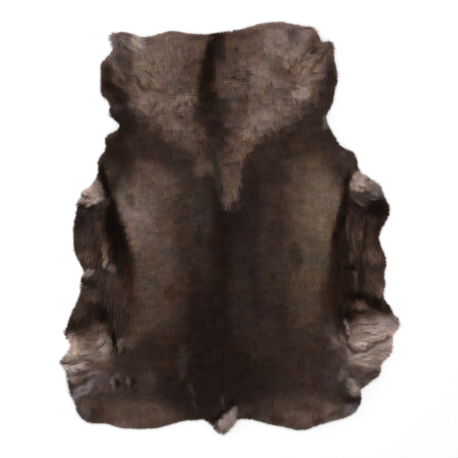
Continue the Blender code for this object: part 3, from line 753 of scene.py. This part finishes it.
def paint(piece, colours):
    """Keep a colour for each point of the piece, for its finish to read."""
    kept = piece.data.attributes.new("hair_colour", "FLOAT_VECTOR", "POINT")
    kept.data.foreach_set("vector", np.ascontiguousarray(colours, dtype=np.float32).ravel())


bm = merged_solid()
pile_tree = BVHTree.FromBMesh(bm)
tips = [v for v in bm.verts if LOCK_TIP[0] < v.co.z < LOCK_TIP[1]]
bmesh.ops.delete(bm, geom=tips, context="VERTS")
bmesh.ops.holes_fill(bm, edges=[e for e in bm.edges if e.is_boundary], sides=4)
bmesh.ops.triangulate(bm, faces=[f for f in bm.faces if len(f.verts) > 3])
bmesh.ops.subdivide_edges(bm, edges=bm.edges, cuts=1, use_grid_fill=True)
bmesh.ops.scale(bm, vec=(1, 1, UNDERFUR_SHARE), verts=bm.verts)
bmesh.ops.translate(bm, vec=(0, 0, UNDERFUR_BASE), verts=bm.verts)
bmesh.ops.recalc_face_normals(bm, faces=bm.faces)
underfur = new_piece("underfur", bm, underfur_finish())
points = np.empty(len(underfur.data.vertices) * 3)
underfur.data.vertices.foreach_get("co", points)
paint(underfur, coat(points[0::3], points[1::3]))
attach(underfur, "root")
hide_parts("reindeer_hide")


# ------------------------------------------------------------------- the hair of back and flanks
# Hollow, slightly flattened guard hairs about 25 mm long, 34 mm in the mane, rooted in the skin
# and lying towards the tail. Each is a blade of two faces; they are joined in four long strips,
# from the neck to the rump, as a furrier would part the hide. Their tips lie along the solid.

STRIPS = ("hair_left_flank", "hair_left_back", "hair_right_back", "hair_right_flank")
BODY_HAIR, MANE_HAIR = 0.025, 0.034
BODY_RIPPLE, MANE_RIPPLE = 0.02, 0.08
BODY_PARTED, MANE_PARTED = 0.4, 1.2
HAIR_HALF_WIDTH = 0.00080
ROOT_SHARE = 0.45           # where a hair starts to show, as a share of the pile's height
BEND = 0.42                 # where it bends over, as a share of its reach
BEND_HEIGHT = 0.90          # and how high, as a share of its rise
SEEN = 0.70                 # the part of it that shows, as a share of its reach
BODY_CLUMP = (0.024, 0.0095)
ROOT_GAP = 0.00182          # from one hair to the next
ROOT_INSET = 0.001          # from the rim to the first of them
FRINGE_GAP = 0.0025         # more hairs between those, at the rim
FRINGE_DEPTH = 0.010
RIM_TOP = 0.0059            # the solid's wall is this high at its rim

# The two creases that part the back from the belly strips: along, left, right
CREASES = (
    (-0.353, -0.328, 0.314), (-0.287, -0.305, 0.306), (-0.213, -0.286, 0.288),
    (-0.127, -0.284, 0.286), (-0.039, -0.306, 0.298), (0.033, -0.330, 0.318),
    (0.092, -0.348, 0.336), (0.164, -0.350, 0.336), (0.223, -0.400, 0.380))

# The lie of the hair where it leaves the line of the back: place, across, along, half width,
# half length, heading in degrees from +X, strength
LIE = (
    ("left belly", -0.400, -0.060, 0.080, 0.220, -128, 1.0),
    ("right belly", 0.392, -0.060, 0.080, 0.220, -52, 1.0),
    ("left foreleg", -0.412, 0.100, 0.075, 0.055, -150, 1.0),
    ("right foreleg", 0.405, 0.115, 0.075, 0.055, -32, 1.0),
    ("left thigh", -0.420, -0.330, 0.090, 0.060, -150, 1.0),
    ("left hock", -0.420, -0.400, 0.095, 0.055, -168, 1.0),
    ("left shank", -0.405, -0.468, 0.085, 0.040, -155, 1.0),
    ("right thigh", 0.410, -0.310, 0.095, 0.070, 10, 1.0),
    ("right hock", 0.400, -0.385, 0.085, 0.050, 6, 1.0),
    ("right shank", 0.350, -0.460, 0.050, 0.050, -45, 1.0),
    ("rump corner left", -0.370, -0.540, 0.090, 0.060, -118, 0.8),
    ("rump corner right", 0.320, -0.540, 0.090, 0.060, -62, 0.8),
    ("neck left", -0.310, 0.460, 0.100, 0.130, -54, 1.0),
    ("neck right", 0.262, 0.480, 0.080, 0.110, -138, 0.9),
    ("tail", -0.015, -0.560, 0.040, 0.055, -116, 1.0))

# Where its tips part most, and so where the dashes of painted light and shade are strongest: place,
# across, down, half width, half length, strength
FLECKED = (
    ("beside the stripe left", 184, 100, 18, 20, 1.0),
    ("beside the stripe right", 238, 82, 22, 13, 1.0),
    ("neck left low", 166, 118, 26, 9, 0.75),
    ("neck right low", 300, 112, 20, 8, 0.7),
    ("neck right", 290, 92, 18, 12, 0.7),
    ("tongue top", 240, 136, 10, 12, 1.0),
    ("tongue", 230, 168, 9, 22, 0.7),
    ("flank left", 152, 190, 22, 26, 0.4),
    ("flank left low", 152, 270, 14, 50, 0.35),
    ("rump left", 160, 400, 34, 12, 0.5),
    ("rump right", 300, 392, 28, 16, 0.5))

# Where the hair reaches less or further past the rim: place, across, down, half width, half
# length, share of the usual reach
RIMS = (
    ("neck top left", 113, 38, 5, 10, 2.2),
    ("neck top middle", 224, 31, 17, 6, 1.8),
    ("neck top right", 293, 24, 24, 6, 1.8),
    ("neck right corner", 321, 35, 8, 8, 0.3),
    ("waist left knob", 109, 111, 6, 7, 2.0),
    ("waist left", 112, 126, 7, 9, 0.2),
    ("shoulder right", 343, 143, 11, 10, 0.2),
    ("right foreleg top", 363, 166, 9, 12, 0.1),
    ("right foreleg side", 384, 192, 7, 11, 0.2),
    ("left belly top", 74, 218, 6, 17, 1.6),
    ("left belly end", 79, 288, 8, 17, 2.2),
    ("right thigh", 395, 339, 6, 13, 0.3),
    ("right hock", 377, 377, 16, 22, 0.05),
    ("left hock", 64, 354, 6, 9, 0.3),
    ("left shank", 68, 385, 7, 14, 0.3),
    ("tail left", 205, 420, 14, 8, 1.5),
    ("tail right", 240, 423, 9, 9, 0.1))

GRID = 0.004
GRID_MARGIN = 0.060
OVERHEAD = 1.0              # the pile is felt out from this height
GRID_END = 1.001            # places are read this many points or more before a field's end
RIM_MARKS = 4               # on each edge of the rim


def relief():
    """The solid's height, and the distance in from its rim, on a square grid."""
    low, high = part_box("reindeer_hide")
    xs = np.arange(low.x - GRID_MARGIN, high.x + GRID_MARGIN, GRID)
    ys = np.arange(low.y - GRID_MARGIN, high.y + GRID_MARGIN, GRID)
    marks = [a.lerp(b, k / RIM_MARKS) for a, b in rim for k in range(RIM_MARKS)]
    shore = kdtree.KDTree(len(marks))
    for k, mark in enumerate(marks):
        shore.insert(mark, k)
    shore.balance()
    height, inwards = np.zeros((2, len(xs), len(ys)))
    for i, px in enumerate(xs):
        for j, py in enumerate(ys):
            hit = pile_tree.ray_cast(Vector((px, py, OVERHEAD)), Vector((0, 0, -1)))[0]
            inside = hit is not None and hit.z > RIM_TOP
            height[i, j] = hit.z if inside else 0.0
            away = shore.find(Vector((px, py, 0.0)))[2]
            inwards[i, j] = away if inside else -away
    return xs[0], ys[0], height, inwards


grid_x, grid_y, height_grid, inwards_grid = relief()
slope_x, slope_y = np.gradient(inwards_grid, GRID)


def on_grid(field, x, y):
    """A field of the grid, read between its points."""
    u = np.clip((x - grid_x) / GRID, 0, field.shape[0] - GRID_END)
    v = np.clip((y - grid_y) / GRID, 0, field.shape[1] - GRID_END)
    i, j = u.astype(int), v.astype(int)
    s, t = u - i, v - j
    return ((field[i, j] * (1 - s) + field[i + 1, j] * s) * (1 - t)
            + (field[i, j + 1] * (1 - s) + field[i + 1, j + 1] * s) * t)


def sow(gap, seed):
    """Roots on a jittered grid, one row after another from the rump to the neck."""
    low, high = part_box("reindeer_hide")
    x, y = np.meshgrid(np.arange(low.x, high.x, gap), np.arange(low.y, high.y, gap))
    shift = np.random.default_rng(seed).uniform(-0.5, 0.5, (2, x.size)) * gap
    return x.ravel() + shift[0], y.ravel() + shift[1]


CLUMP_CENTRE = (0.1, 0.9)   # a clump's centre lies between these shares of its cell


def clumps(x, y, size, seed):
    """The centre of the nearest clump to each root, and a number from 0 to 1 for that clump."""
    x, y = x / size[0], y / size[1]
    rng = np.random.default_rng(seed)
    jitter = rng.uniform(*CLUMP_CENTRE, (NOISE_CELLS, NOISE_CELLS, 2))
    chance = rng.random((NOISE_CELLS, NOISE_CELLS))
    best = np.full(len(x), np.inf)
    centre = np.zeros((3, len(x)))
    for across in (-1, 0, 1):
        for along in (-1, 0, 1):
            i, j = np.floor(x).astype(int) + across, np.floor(y).astype(int) + along
            place = jitter[i % NOISE_CELLS, j % NOISE_CELLS]
            cx, cy = i + place[:, 0], j + place[:, 1]
            away = np.hypot(x - cx, y - cy)
            near = away < best
            best[near] = away[near]
            found = (cx * size[0], cy * size[1], chance[i % NOISE_CELLS, j % NOISE_CELLS])
            centre[:, near] = np.array(found)[:, near]
    return centre


FAN = 0.8                   # how fast the hair's lie spreads from the middle of the back
RIM_TURN = 0.028            # closer to the rim than this the hair turns outwards
RIM_TURN_SHARE = 0.9        # by this much, but wholly at the cut edge of the neck
NECK_CUT, NECK_CUT_BAND = 0.50, 0.03    # that edge lies past the first of these
CUT_FACING, CUT_FACING_BAND = 0.3, 0.4  # and its way out points forward more than this
CUT_NARROWS, CUT_SHIFT = 0.65, 0.35     # there the turned hair lies closer to the rim


def comb(x, y, turn):
    """The way the hair lies, turned by the given angles, the way out, the depth and the cut."""
    hx, hy = FAN * x, np.full(len(x), -1.0)
    for _, px, py, half_x, half_y, heading, strength in LIE:
        share = strength * oval(x, y, px, py, half_x, half_y)
        hx += (math.cos(math.radians(heading)) - hx) * share
        hy += (math.sin(math.radians(heading)) - hy) * share
    out_x, out_y = -on_grid(slope_x, x, y), -on_grid(slope_y, x, y)
    cut = smooth((y - NECK_CUT) / NECK_CUT_BAND) * smooth((out_y - CUT_FACING) / CUT_FACING_BAND)
    depth = on_grid(inwards_grid, x, y)
    turned = depth / (RIM_TURN * (1 - CUT_NARROWS * cut)) - CUT_SHIFT * cut
    share = (RIM_TURN_SHARE + (1 - RIM_TURN_SHARE) * cut) * (1 - smooth(turned))
    hx, hy = hx + (out_x - hx) * share, hy + (out_y - hy) * share
    size = np.hypot(hx, hy) + 1e-6
    hx, hy = hx / size, hy / size
    c, s = np.cos(turn), np.sin(turn)
    return hx * c - hy * s, hx * s + hy * c, out_x, out_y, depth, cut


# Uneven growth: layers of noise, each with its strength, cell across, cell along and seed
UNEVEN = {
    "sway": ((0.012, 0.070, 0.070, 21), (0.003, 0.020, 0.020, 25)),
    "crests": ((1, 0.040, 0.013, 22),),
    "gaps": ((1, 0.034, 0.012, 23),),
    "rippled": ((1, 0.050, 0.040, 26),),
    "flecked": ((1.6, 0.060, 0.040, 43),),
    "streaks": ((0.5, 0.006, 0.040, 61),),
    "turn": ((0.25, 0.050, 0.050, 24),),
    "gathered": ((1, 0.055, 0.045, 29),),
    "mottle": ((1, 0.030, 0.018, 27), (0.7, 0.012, 0.009, 28)),
    "warm": ((0.06, 0.050, 0.070, 31), (0.08, 0.022, 0.018, 32)),
    "green": ((0.03, 0.060, 0.045, 34), (0.06, 0.026, 0.022, 33))}
CREST_WIDTH, CREST_GAIN, GAP_WIDTH = 0.18, 1.2, 0.16
RIPPLE_LEAST = 0.3              # of the full ripple
FLECKED_LEAST, FLECKED_START = 0.2, 0.2
LOCK_CELL, LOCK_SEED = (0.050, 0.0065), 62      # streaks along the hair, a seed for each lie


def uneven(name, x, y):
    """The layers of noise of that name, added up."""
    return sum(strength * patchy(x, y, wide, long, seed)
               for strength, wide, long, seed in UNEVEN[name])


def ripples(x, y):
    """Crests and gaps across the back, where the thick hair parts: above 0, and below it."""
    bent = y + uneven("sway", x, y)
    crest = np.exp(-(uneven("crests", x, bent) / CREST_WIDTH) ** 2)
    gap = np.exp(-(uneven("gaps", x, bent) / GAP_WIDTH) ** 2)
    strength = RIPPLE_LEAST + (1 - RIPPLE_LEAST) * smooth(0.5 + uneven("rippled", x, y))
    return (CREST_GAIN * crest - gap) * strength


def flecked(x, y):
    """How far the hair's tips part at each place, from 0 to 1, which sets the strength of the
    dashes of painted light and shade.
    """
    share = FLECKED_LEAST * smooth(FLECKED_START + uneven("flecked", x, y))
    for _, *spot, strength in FLECKED:
        share += (strength - share) * photo_oval(x, y, *spot)
    return share


def grain(x, y):
    """Streaks along the hair where it leaves the line of the back, from -1 to 1."""
    streaks = uneven("streaks", x, y)
    for k, (_, px, py, half_x, half_y, heading, strength) in enumerate(LIE):
        c, s = math.cos(math.radians(heading)), math.sin(math.radians(heading))
        lines = patchy(x * c + y * s, y * c - x * s, *LOCK_CELL, LOCK_SEED + k)
        share = strength * oval(x, y, px, py, half_x, half_y)
        streaks += (lines - streaks) * share
    return streaks


def keep(piece, name, values):
    """A number for each point of the piece, for its finish to read."""
    kept = piece.data.attributes.new(name, "FLOAT", "POINT")
    kept.data.foreach_set("value", values.astype(np.float32))


# Each hair has five points, two at its root, two at its bend and its tip, and two faces
HAIR_POINTS = 5
HAIR_FACES, FACE_STARTS = (0, 1, 3, 2, 2, 3, 4), (0, 4)
ALONG = (0, 0, 0.5, 0.5, 1)
MAP_LARGE, MAP_SMALL = 1024, 256
CELL = (3, 6)               # pixels of a baked map for each hair
CELL_CORNERS = ((0.15, 0.08), (0.85, 0.08), (0.85, 0.50), (0.15, 0.50),
                (0.15, 0.50), (0.85, 0.50), (0.50, 0.92))


def blades(name, corners, hues, material, map_size):
    """One mesh of all the hairs, given five points and a colour for each."""
    count = len(corners)
    each = np.arange(count)[:, None]
    faces = (HAIR_FACES + HAIR_POINTS * each).astype(np.int32).ravel()
    starts = (FACE_STARTS + len(HAIR_FACES) * each).astype(np.int32).ravel()
    mesh = bpy.data.meshes.new(name)
    mesh.vertices.add(count * HAIR_POINTS)
    mesh.vertices.foreach_set("co", corners.astype(np.float32).ravel())
    mesh.loops.add(len(faces))
    mesh.loops.foreach_set("vertex_index", faces)
    mesh.polygons.add(len(starts))
    mesh.polygons.foreach_set("loop_start", starts)
    mesh.update(calc_edges=True)
    mesh.polygons.foreach_set("use_smooth", np.ones(len(starts), bool))
    # Each hair has its own cell of the map, so that its colour can be baked
    columns = map_size // CELL[0]
    place = np.stack([each % columns, each // columns], 2)
    room = mesh.uv_layers.new(name="OFBake")
    places = (place + CELL_CORNERS) * CELL / map_size
    room.data.foreach_set("uv", places.astype(np.float32).ravel())
    mesh.materials.append(material)
    piece = bpy.data.objects.new(name, mesh)
    bpy.context.scene.collection.objects.link(piece)
    paint(piece, np.repeat(hues, HAIR_POINTS, axis=0))
    keep(piece, "along", np.tile(ALONG, count))
    return piece


# How clumps of hair and single hairs differ
CLUMP_TURN, HAIR_TURN = 0.5, 0.10       # radians
CLUMP_RISE, HAIR_RISE = 0.08, 0.025     # shares of the pile's height
CLUMP_LENGTH, HAIR_LENGTH = 0.24, 0.04  # shares of the hair's length
CLUMP_LIGHT, HAIR_LIGHT = 0.30, 0.02
CLUMP_STRAY = 5             # times the stray of a hair
GATHER_LEAST = 0.35         # how far the loosest hair is gathered into its clump
RIM_EVEN, RIM_GATHER = 0.020, 0.25      # less parted closer to the rim, down to this share
LEAST_REACH = 0.5           # of its length
FACING = 0.15               # hair that faces the rim more than this is held back by it
SPARE, CUT_SPARE = (0.3, 1.5), 0.5      # shares of the reach past the rim, and less at the cut
DROOP, DROOP_LEAST = 0.016, 0.25        # how far out hair past the rim has come down, to what
ROLL = 0.15                 # radians
WIDTHS = (0.75, 1.25)       # shares of the usual width
# The ripples' crests get painted light and their gaps painted shade
RIPPLE_PAINTED_LIGHT, MOTTLE_LIGHT = 3.0, 0.14
PALE_HAIRS, DARK_HAIRS = (0.015, 1.25), (0.01, 0.80)    # the share of odd hairs, and their gain
RIM_PAINTED_LIGHT, RIM_LIGHT_DEPTH = 0.25, 0.014    # painted light on the fringe, which is thinner and hangs over the rim in shade
HUE_RANGE = (0.002, 0.8)


def grow(name, x, y, length, material, seed, lift=0.92, ripple=0.02, pull=(0.2, 0.65),
         reach_out=0.006, clump=BODY_CLUMP, streak=0.20, stray=0.002, parted=1.0,
         map_size=MAP_LARGE):
    """Hair of the given length from the roots at x, y, lying as the coat does.

    Its tips stand at lift of the pile's height, more and less by ripple, are pulled together in
    clumps, across and along, and end about reach_out past the rim. Streak is how much lighter
    its lighter lines are, stray how far from its place it takes its colour, and parted how much
    its clumps differ.
    """
    rng = np.random.default_rng(seed)
    count = len(x)
    clump_x, clump_y, chance = clumps(x, y, clump, seed=5)
    odds = chance - 0.5
    wave = ripples(x, y)
    turn = uneven("turn", x, y) + CLUMP_TURN * odds + rng.normal(0, HAIR_TURN, count)
    hx, hy, out_x, out_y, depth, cut = comb(x, y, turn)
    rise = lift + ripple * wave + CLUMP_RISE * parted * odds + rng.normal(0, HAIR_RISE, count)
    long = length * (1 + CLUMP_LENGTH * odds + rng.normal(0, HAIR_LENGTH, count))
    gather = parted * (GATHER_LEAST + smooth(0.5 + uneven("gathered", x, y)))
    gather *= RIM_GATHER + (1 - RIM_GATHER) * smooth(depth / RIM_EVEN)

    # From its root it rises to a bend and lies over to its tip, no further than the rim lets it
    root_z = ROOT_SHARE * on_grid(height_grid, x, y)
    climb = rise * on_grid(height_grid, x, y) - root_z
    reach = np.sqrt(np.maximum(long ** 2 - climb ** 2, (LEAST_REACH * long) ** 2))
    facing = hx * out_x + hy * out_y
    spare = reach_out * rng.uniform(*SPARE, count) * (1 - CUT_SPARE * cut)
    for _, *spot, share in RIMS:
        spare *= 1 + (share - 1) * photo_oval(x, y, *spot)
    held = np.minimum(reach, (depth + spare) / np.maximum(facing, FACING))
    reach = np.where(facing > FACING, held, reach)
    tip_x = x + hx * reach - pull[0] * gather * (x - clump_x)
    tip_y = y + hy * reach - pull[1] * gather * (y - clump_y)
    tip_depth = on_grid(inwards_grid, tip_x, tip_y)
    over = RIM_TOP * np.clip(1 + tip_depth / DROOP, DROOP_LEAST, 1.0)
    tip_z = rise * np.where(tip_depth > GRID, on_grid(height_grid, tip_x, tip_y), over)
    bend_x, bend_y = x + BEND * (tip_x - x), y + BEND * (tip_y - y)
    bend_z = np.maximum(BEND_HEIGHT * rise * on_grid(height_grid, bend_x, bend_y), root_z)

    # The blade, rolled a little round its length
    root = np.stack([x, y, root_z], 1)
    bend = np.stack([bend_x, bend_y, bend_z], 1)
    tip = np.stack([tip_x, tip_y, tip_z], 1)
    run = tip - root
    run /= np.linalg.norm(run, axis=1)[:, None] + 1e-9
    side = np.cross(run, (0.0, 0.0, 1.0))
    side /= np.linalg.norm(side, axis=1)[:, None] + 1e-9
    roll = rng.normal(0, ROLL, count)[:, None]
    side = side * np.cos(roll) + np.cross(side, run) * np.sin(roll)
    side *= HAIR_HALF_WIDTH * rng.uniform(*WIDTHS, count)[:, None]
    corners = np.stack([root - side, root + side, bend - side, bend + side, tip], 1)

    # The coat's colour where the hair shows, a little lighter or darker, warmer or greener
    stray_x, stray_y = stray * rng.normal(0, 1, (2, count))
    stray_y += CLUMP_STRAY * stray * odds
    hues = coat(x + SEEN * (tip_x - x) + stray_x, y + SEEN * (tip_y - y) + stray_y)
    # Painted light on the crests of the ripples and painted shade in their gaps, besides the hair's
    # own lighter and darker clumps, mottle and streaks
    light = np.exp(rng.normal(0, HAIR_LIGHT, count) + RIPPLE_PAINTED_LIGHT * ripple * wave
                   + streak * grain(x, y) + MOTTLE_LIGHT * uneven("mottle", x, y)
                   + CLUMP_LIGHT * parted * odds)
    odd = rng.random(count)
    light[odd < PALE_HAIRS[0]] *= PALE_HAIRS[1]
    light[odd > 1 - DARK_HAIRS[0]] *= DARK_HAIRS[1]
    # Painted light on the fringe, which hangs over the rim in shade
    light *= 1 + RIM_PAINTED_LIGHT * (1 - smooth(depth / RIM_LIGHT_DEPTH))
    cast = (1 + np.outer(uneven("warm", x, y), (1, 0, -1))
            + np.outer(uneven("green", x, y), (0, 1, 0)))
    hues = np.clip(hues * light[:, None] * cast, *HUE_RANGE)

    piece = blades(name, corners, hues, material, map_size)
    keep(piece, "flecked", np.repeat(flecked(tip_x, tip_y), HAIR_POINTS))
    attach(piece, "root")
    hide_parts("reindeer_hide")


# Shares of the coat's colour along a hair, darker to the root partly as its own banding and partly
# as painted shade of the roots under the coat, and its finest marks
ROOT_SHADE, EVEN_SHADE, TIP_SHADE = 0.50, 0.23, 0.37    # they add up from root to tip
GLINTS, GLINT_LEAST, GLINT_GAIN = 700.0, 0.92, 0.16     # glints to a metre
# Dashes across the hair: painted light on the rows of parted tips and painted shade in the gaps
# between them
DASHES = (45.0, 200.0, 0.0)     # to a metre, across the hair and along it
DASH_SHADE_LEVEL, DASH_LIGHT_LEVEL, DASH_GAIN = 0.44, 0.56, 3.5


def hair_finish(name, roughness, specular):
    """Hair darker at its root, partly banding and partly painted shade, with fine glints, and with
    painted light and shade in dashes where its tips part.
    """
    finish = Finish(name, Roughness=roughness, Specular_IOR_Level=specular)
    colour = finish.node("ShaderNodeAttribute", {"attribute_name": "hair_colour"}, {}, "Color")
    along = finish.node("ShaderNodeAttribute", {"attribute_name": "along"}, {}, "Fac")
    place = finish.node("ShaderNodeTexCoord", {}, {}, out="Object")
    glint = finish.node("ShaderNodeTexNoise", {}, {"Vector": place, "Scale": GLINTS})
    shade = ROOT_SHADE + EVEN_SHADE * along + TIP_SHADE * along ** 3
    shade = shade * (GLINT_LEAST + GLINT_GAIN * glint)
    flecked_share = finish.node("ShaderNodeAttribute", {"attribute_name": "flecked"}, {}, "Fac")
    across = finish.node("ShaderNodeVectorMath", {"operation": "MULTIPLY"}, {0: place, 1: DASHES})
    dash = finish.node("ShaderNodeTexNoise", {}, {"Vector": across, "Scale": 1.0, "Detail": 1.0})
    # Painted light where the dash noise is high, painted shade where it is low
    pale = dash.maths("MAXIMUM", dash - DASH_LIGHT_LEVEL, 0.0)
    dark = dash.maths("MAXIMUM", DASH_SHADE_LEVEL - dash, 0.0)
    shade = shade * (1.0 + flecked_share * (pale * DASH_GAIN - dark * DASH_GAIN))
    tint = finish.node("ShaderNodeVectorMath", {"operation": "SCALE"}, {0: colour, "Scale": shade})
    return finish.surface(Base_Color=tint)


even = sow(ROOT_GAP, seed=7)
fringe = sow(FRINGE_GAP, seed=8)
root_x, root_y = np.hstack([even, fringe])
extra = np.arange(len(root_x)) >= len(even[0])
root_depth = on_grid(inwards_grid, root_x, root_y)
kept = (root_depth > ROOT_INSET) & ~(extra & (root_depth > FRINGE_DEPTH))
root_x, root_y = root_x[kept], root_y[kept]
order = np.lexsort((root_x, np.round(root_y / ROOT_GAP)))
root_x, root_y = root_x[order], root_y[order]

crease_along, crease_left, crease_right = np.array(CREASES).T
beyond = ((root_x < np.interp(root_y, crease_along, crease_left))
          | (root_x > np.interp(root_y, crease_along, crease_right)))

# Ovals over the legs and the tail: across, along, half width, half length
HIND_LEGS = ((-0.425, -0.395, 0.105, 0.130), (0.415, -0.365, 0.105, 0.140))
FORELEGS = ((-0.415, 0.100, 0.065, 0.050), (0.405, 0.118, 0.070, 0.056))
TAIL = ((-0.014, -0.572, 0.034, 0.034),)
BELLY_REAR, BELLY_FRONT = -0.36, 0.19


def within(ovals):
    """Which roots lie in the inner part of one of the ovals."""
    return sum(oval(root_x, root_y, *each) for each in ovals) > 0.5


on_tail = within(TAIL)
on_hind_legs = beyond & within(HIND_LEGS)
on_forelegs = beyond & within(FORELEGS)
on_belly = beyond & ~on_hind_legs & ~on_forelegs & (root_y < BELLY_FRONT) & (root_y > BELLY_REAR)
on_body = ~(on_tail | on_hind_legs | on_forelegs | on_belly)

body_finish = hair_finish("body_hair", roughness=0.65, specular=0.05)
borders = np.quantile(root_x[on_body], np.linspace(0, 1, len(STRIPS) + 1))
for k, strip in enumerate(STRIPS):
    up_to = (root_x < borders[k + 1]) | (strip == STRIPS[-1])
    here = on_body & (root_x >= borders[k]) & up_to
    x, y = root_x[here], root_y[here]
    mane = mane_share(x, y)
    grow(strip, x, y, BODY_HAIR + (MANE_HAIR - BODY_HAIR) * mane, body_finish, seed=30 + k,
         ripple=BODY_RIPPLE + (MANE_RIPPLE - BODY_RIPPLE) * mane,
         parted=BODY_PARTED + (MANE_PARTED - BODY_PARTED) * mane)


# ------------------------------------------------------------------------ the hair of the belly
# Short, dark hair on the two strips beside the flanks, which covered the belly. It grows from the
# same skin, and lies close to it, outwards and back.

BELLY_HAIR = 0.015
BELLY_CLUMP = (0.009, 0.022)
belly_finish = hair_finish("belly_hair", roughness=0.6, specular=0.04)
grow("hair_belly", root_x[on_belly], root_y[on_belly], BELLY_HAIR, belly_finish, seed=40,
     pull=(0.5, 0.1), clump=BELLY_CLUMP, stray=0.001)


# --------------------------------------------------------------------------- the hair of the legs
# Pale, soft hair on the flaps that were the legs, longer than the rest and parted into locks that
# reach past the skin.

FORELEG_HAIR, HIND_LEG_HAIR = 0.024, 0.030
LEG_CLUMP = (0.018, 0.007)
leg_finish = hair_finish("leg_hair", roughness=0.6, specular=0.08)
locks = {"ripple": 0.015, "pull": (0.3, 0.6), "clump": LEG_CLUMP, "streak": 0.36, "stray": 0.0015}
grow("hair_forelegs", root_x[on_forelegs], root_y[on_forelegs], FORELEG_HAIR, leg_finish,
     seed=50, reach_out=0.009, **locks)
grow("hair_hind_legs", root_x[on_hind_legs], root_y[on_hind_legs], HIND_LEG_HAIR, leg_finish,
     seed=51, reach_out=0.010, **locks)


# ------------------------------------------------------------------------------------- the tail
# A short tail, whose skin is one with the hide's. Its tuft of long pale hair lies over the edge
# of the rump.

TAIL_HAIR = 0.036
grow("hair_tail", root_x[on_tail], root_y[on_tail], TAIL_HAIR, leg_finish, seed=60,
     lift=1.0, pull=(0.6, 0.3), reach_out=0.003, stray=0.0015, map_size=MAP_SMALL)


# ------------------------------------------------------------------------------------ the studio
# A wide pale floor, white light from all round and a large soft light overhead, and a camera that
# looks straight down from 7.4 m, as in the photograph.

FLOOR_DROP = 0.0005
FLOOR_SIZE = 40.0
PAPER, PAPER_PALE = (0.95, 0.95, 0.95), (0.97, 0.97, 0.97)
SKY_LIGHT = 0.80
SOFT_LIGHT, SOFT_SIZE, SOFT_PLACE = 32.0, 2.5, (-0.6, 0.7, 2.6)
VIEW_WIDTH, LENS, SENSOR = 1.334, 200.0, 36.0
VIEW_CENTRE = (-0.0050, -0.0062, 0.020)

bm = bmesh.new()
bmesh.ops.create_grid(bm, x_segments=8, y_segments=8, size=FLOOR_SIZE / 2)
bmesh.ops.translate(bm, vec=(0, 0, -FLOOR_DROP), verts=bm.verts)
paper = Finish("white_floor", Roughness=1.0, Specular_IOR_Level=0.0)
paper_place = paper.node("ShaderNodeTexCoord", {}, {}, out="Object")
paper_tone = paper.node("ShaderNodeTexNoise", {}, {"Vector": paper_place, "Scale": 0.5})
paper_colour = paper.blend(paper_tone, PAPER, PAPER_PALE)
floor = new_piece("studio_floor", bm, paper.surface(Base_Color=paper_colour))

world = bpy.data.worlds.new("studio")
world.use_nodes = True
sky = world.node_tree.nodes["Background"].inputs
sky["Color"].default_value = (1, 1, 1, 1)
sky["Strength"].default_value = SKY_LIGHT
bpy.context.scene.world = world

soft = bpy.data.lights.new("soft_light", "AREA")
soft.energy, soft.size = SOFT_LIGHT, SOFT_SIZE
lamp = bpy.data.objects.new("soft_light", soft)
lamp.location = SOFT_PLACE
lamp.rotation_euler = (-Vector(SOFT_PLACE)).to_track_quat("-Z", "Y").to_euler()
bpy.context.scene.collection.objects.link(lamp)

lens = bpy.data.cameras.new("camera")
lens.lens, lens.sensor_width = LENS, SENSOR
lens.clip_end = 100.0
camera = bpy.data.objects.new("camera", lens)
camera.location = (*VIEW_CENTRE[:2], VIEW_CENTRE[2] + VIEW_WIDTH * LENS / SENSOR)
bpy.context.scene.collection.objects.link(camera)
bpy.context.scene.camera = camera
bpy.context.scene.view_settings.view_transform = "Standard"
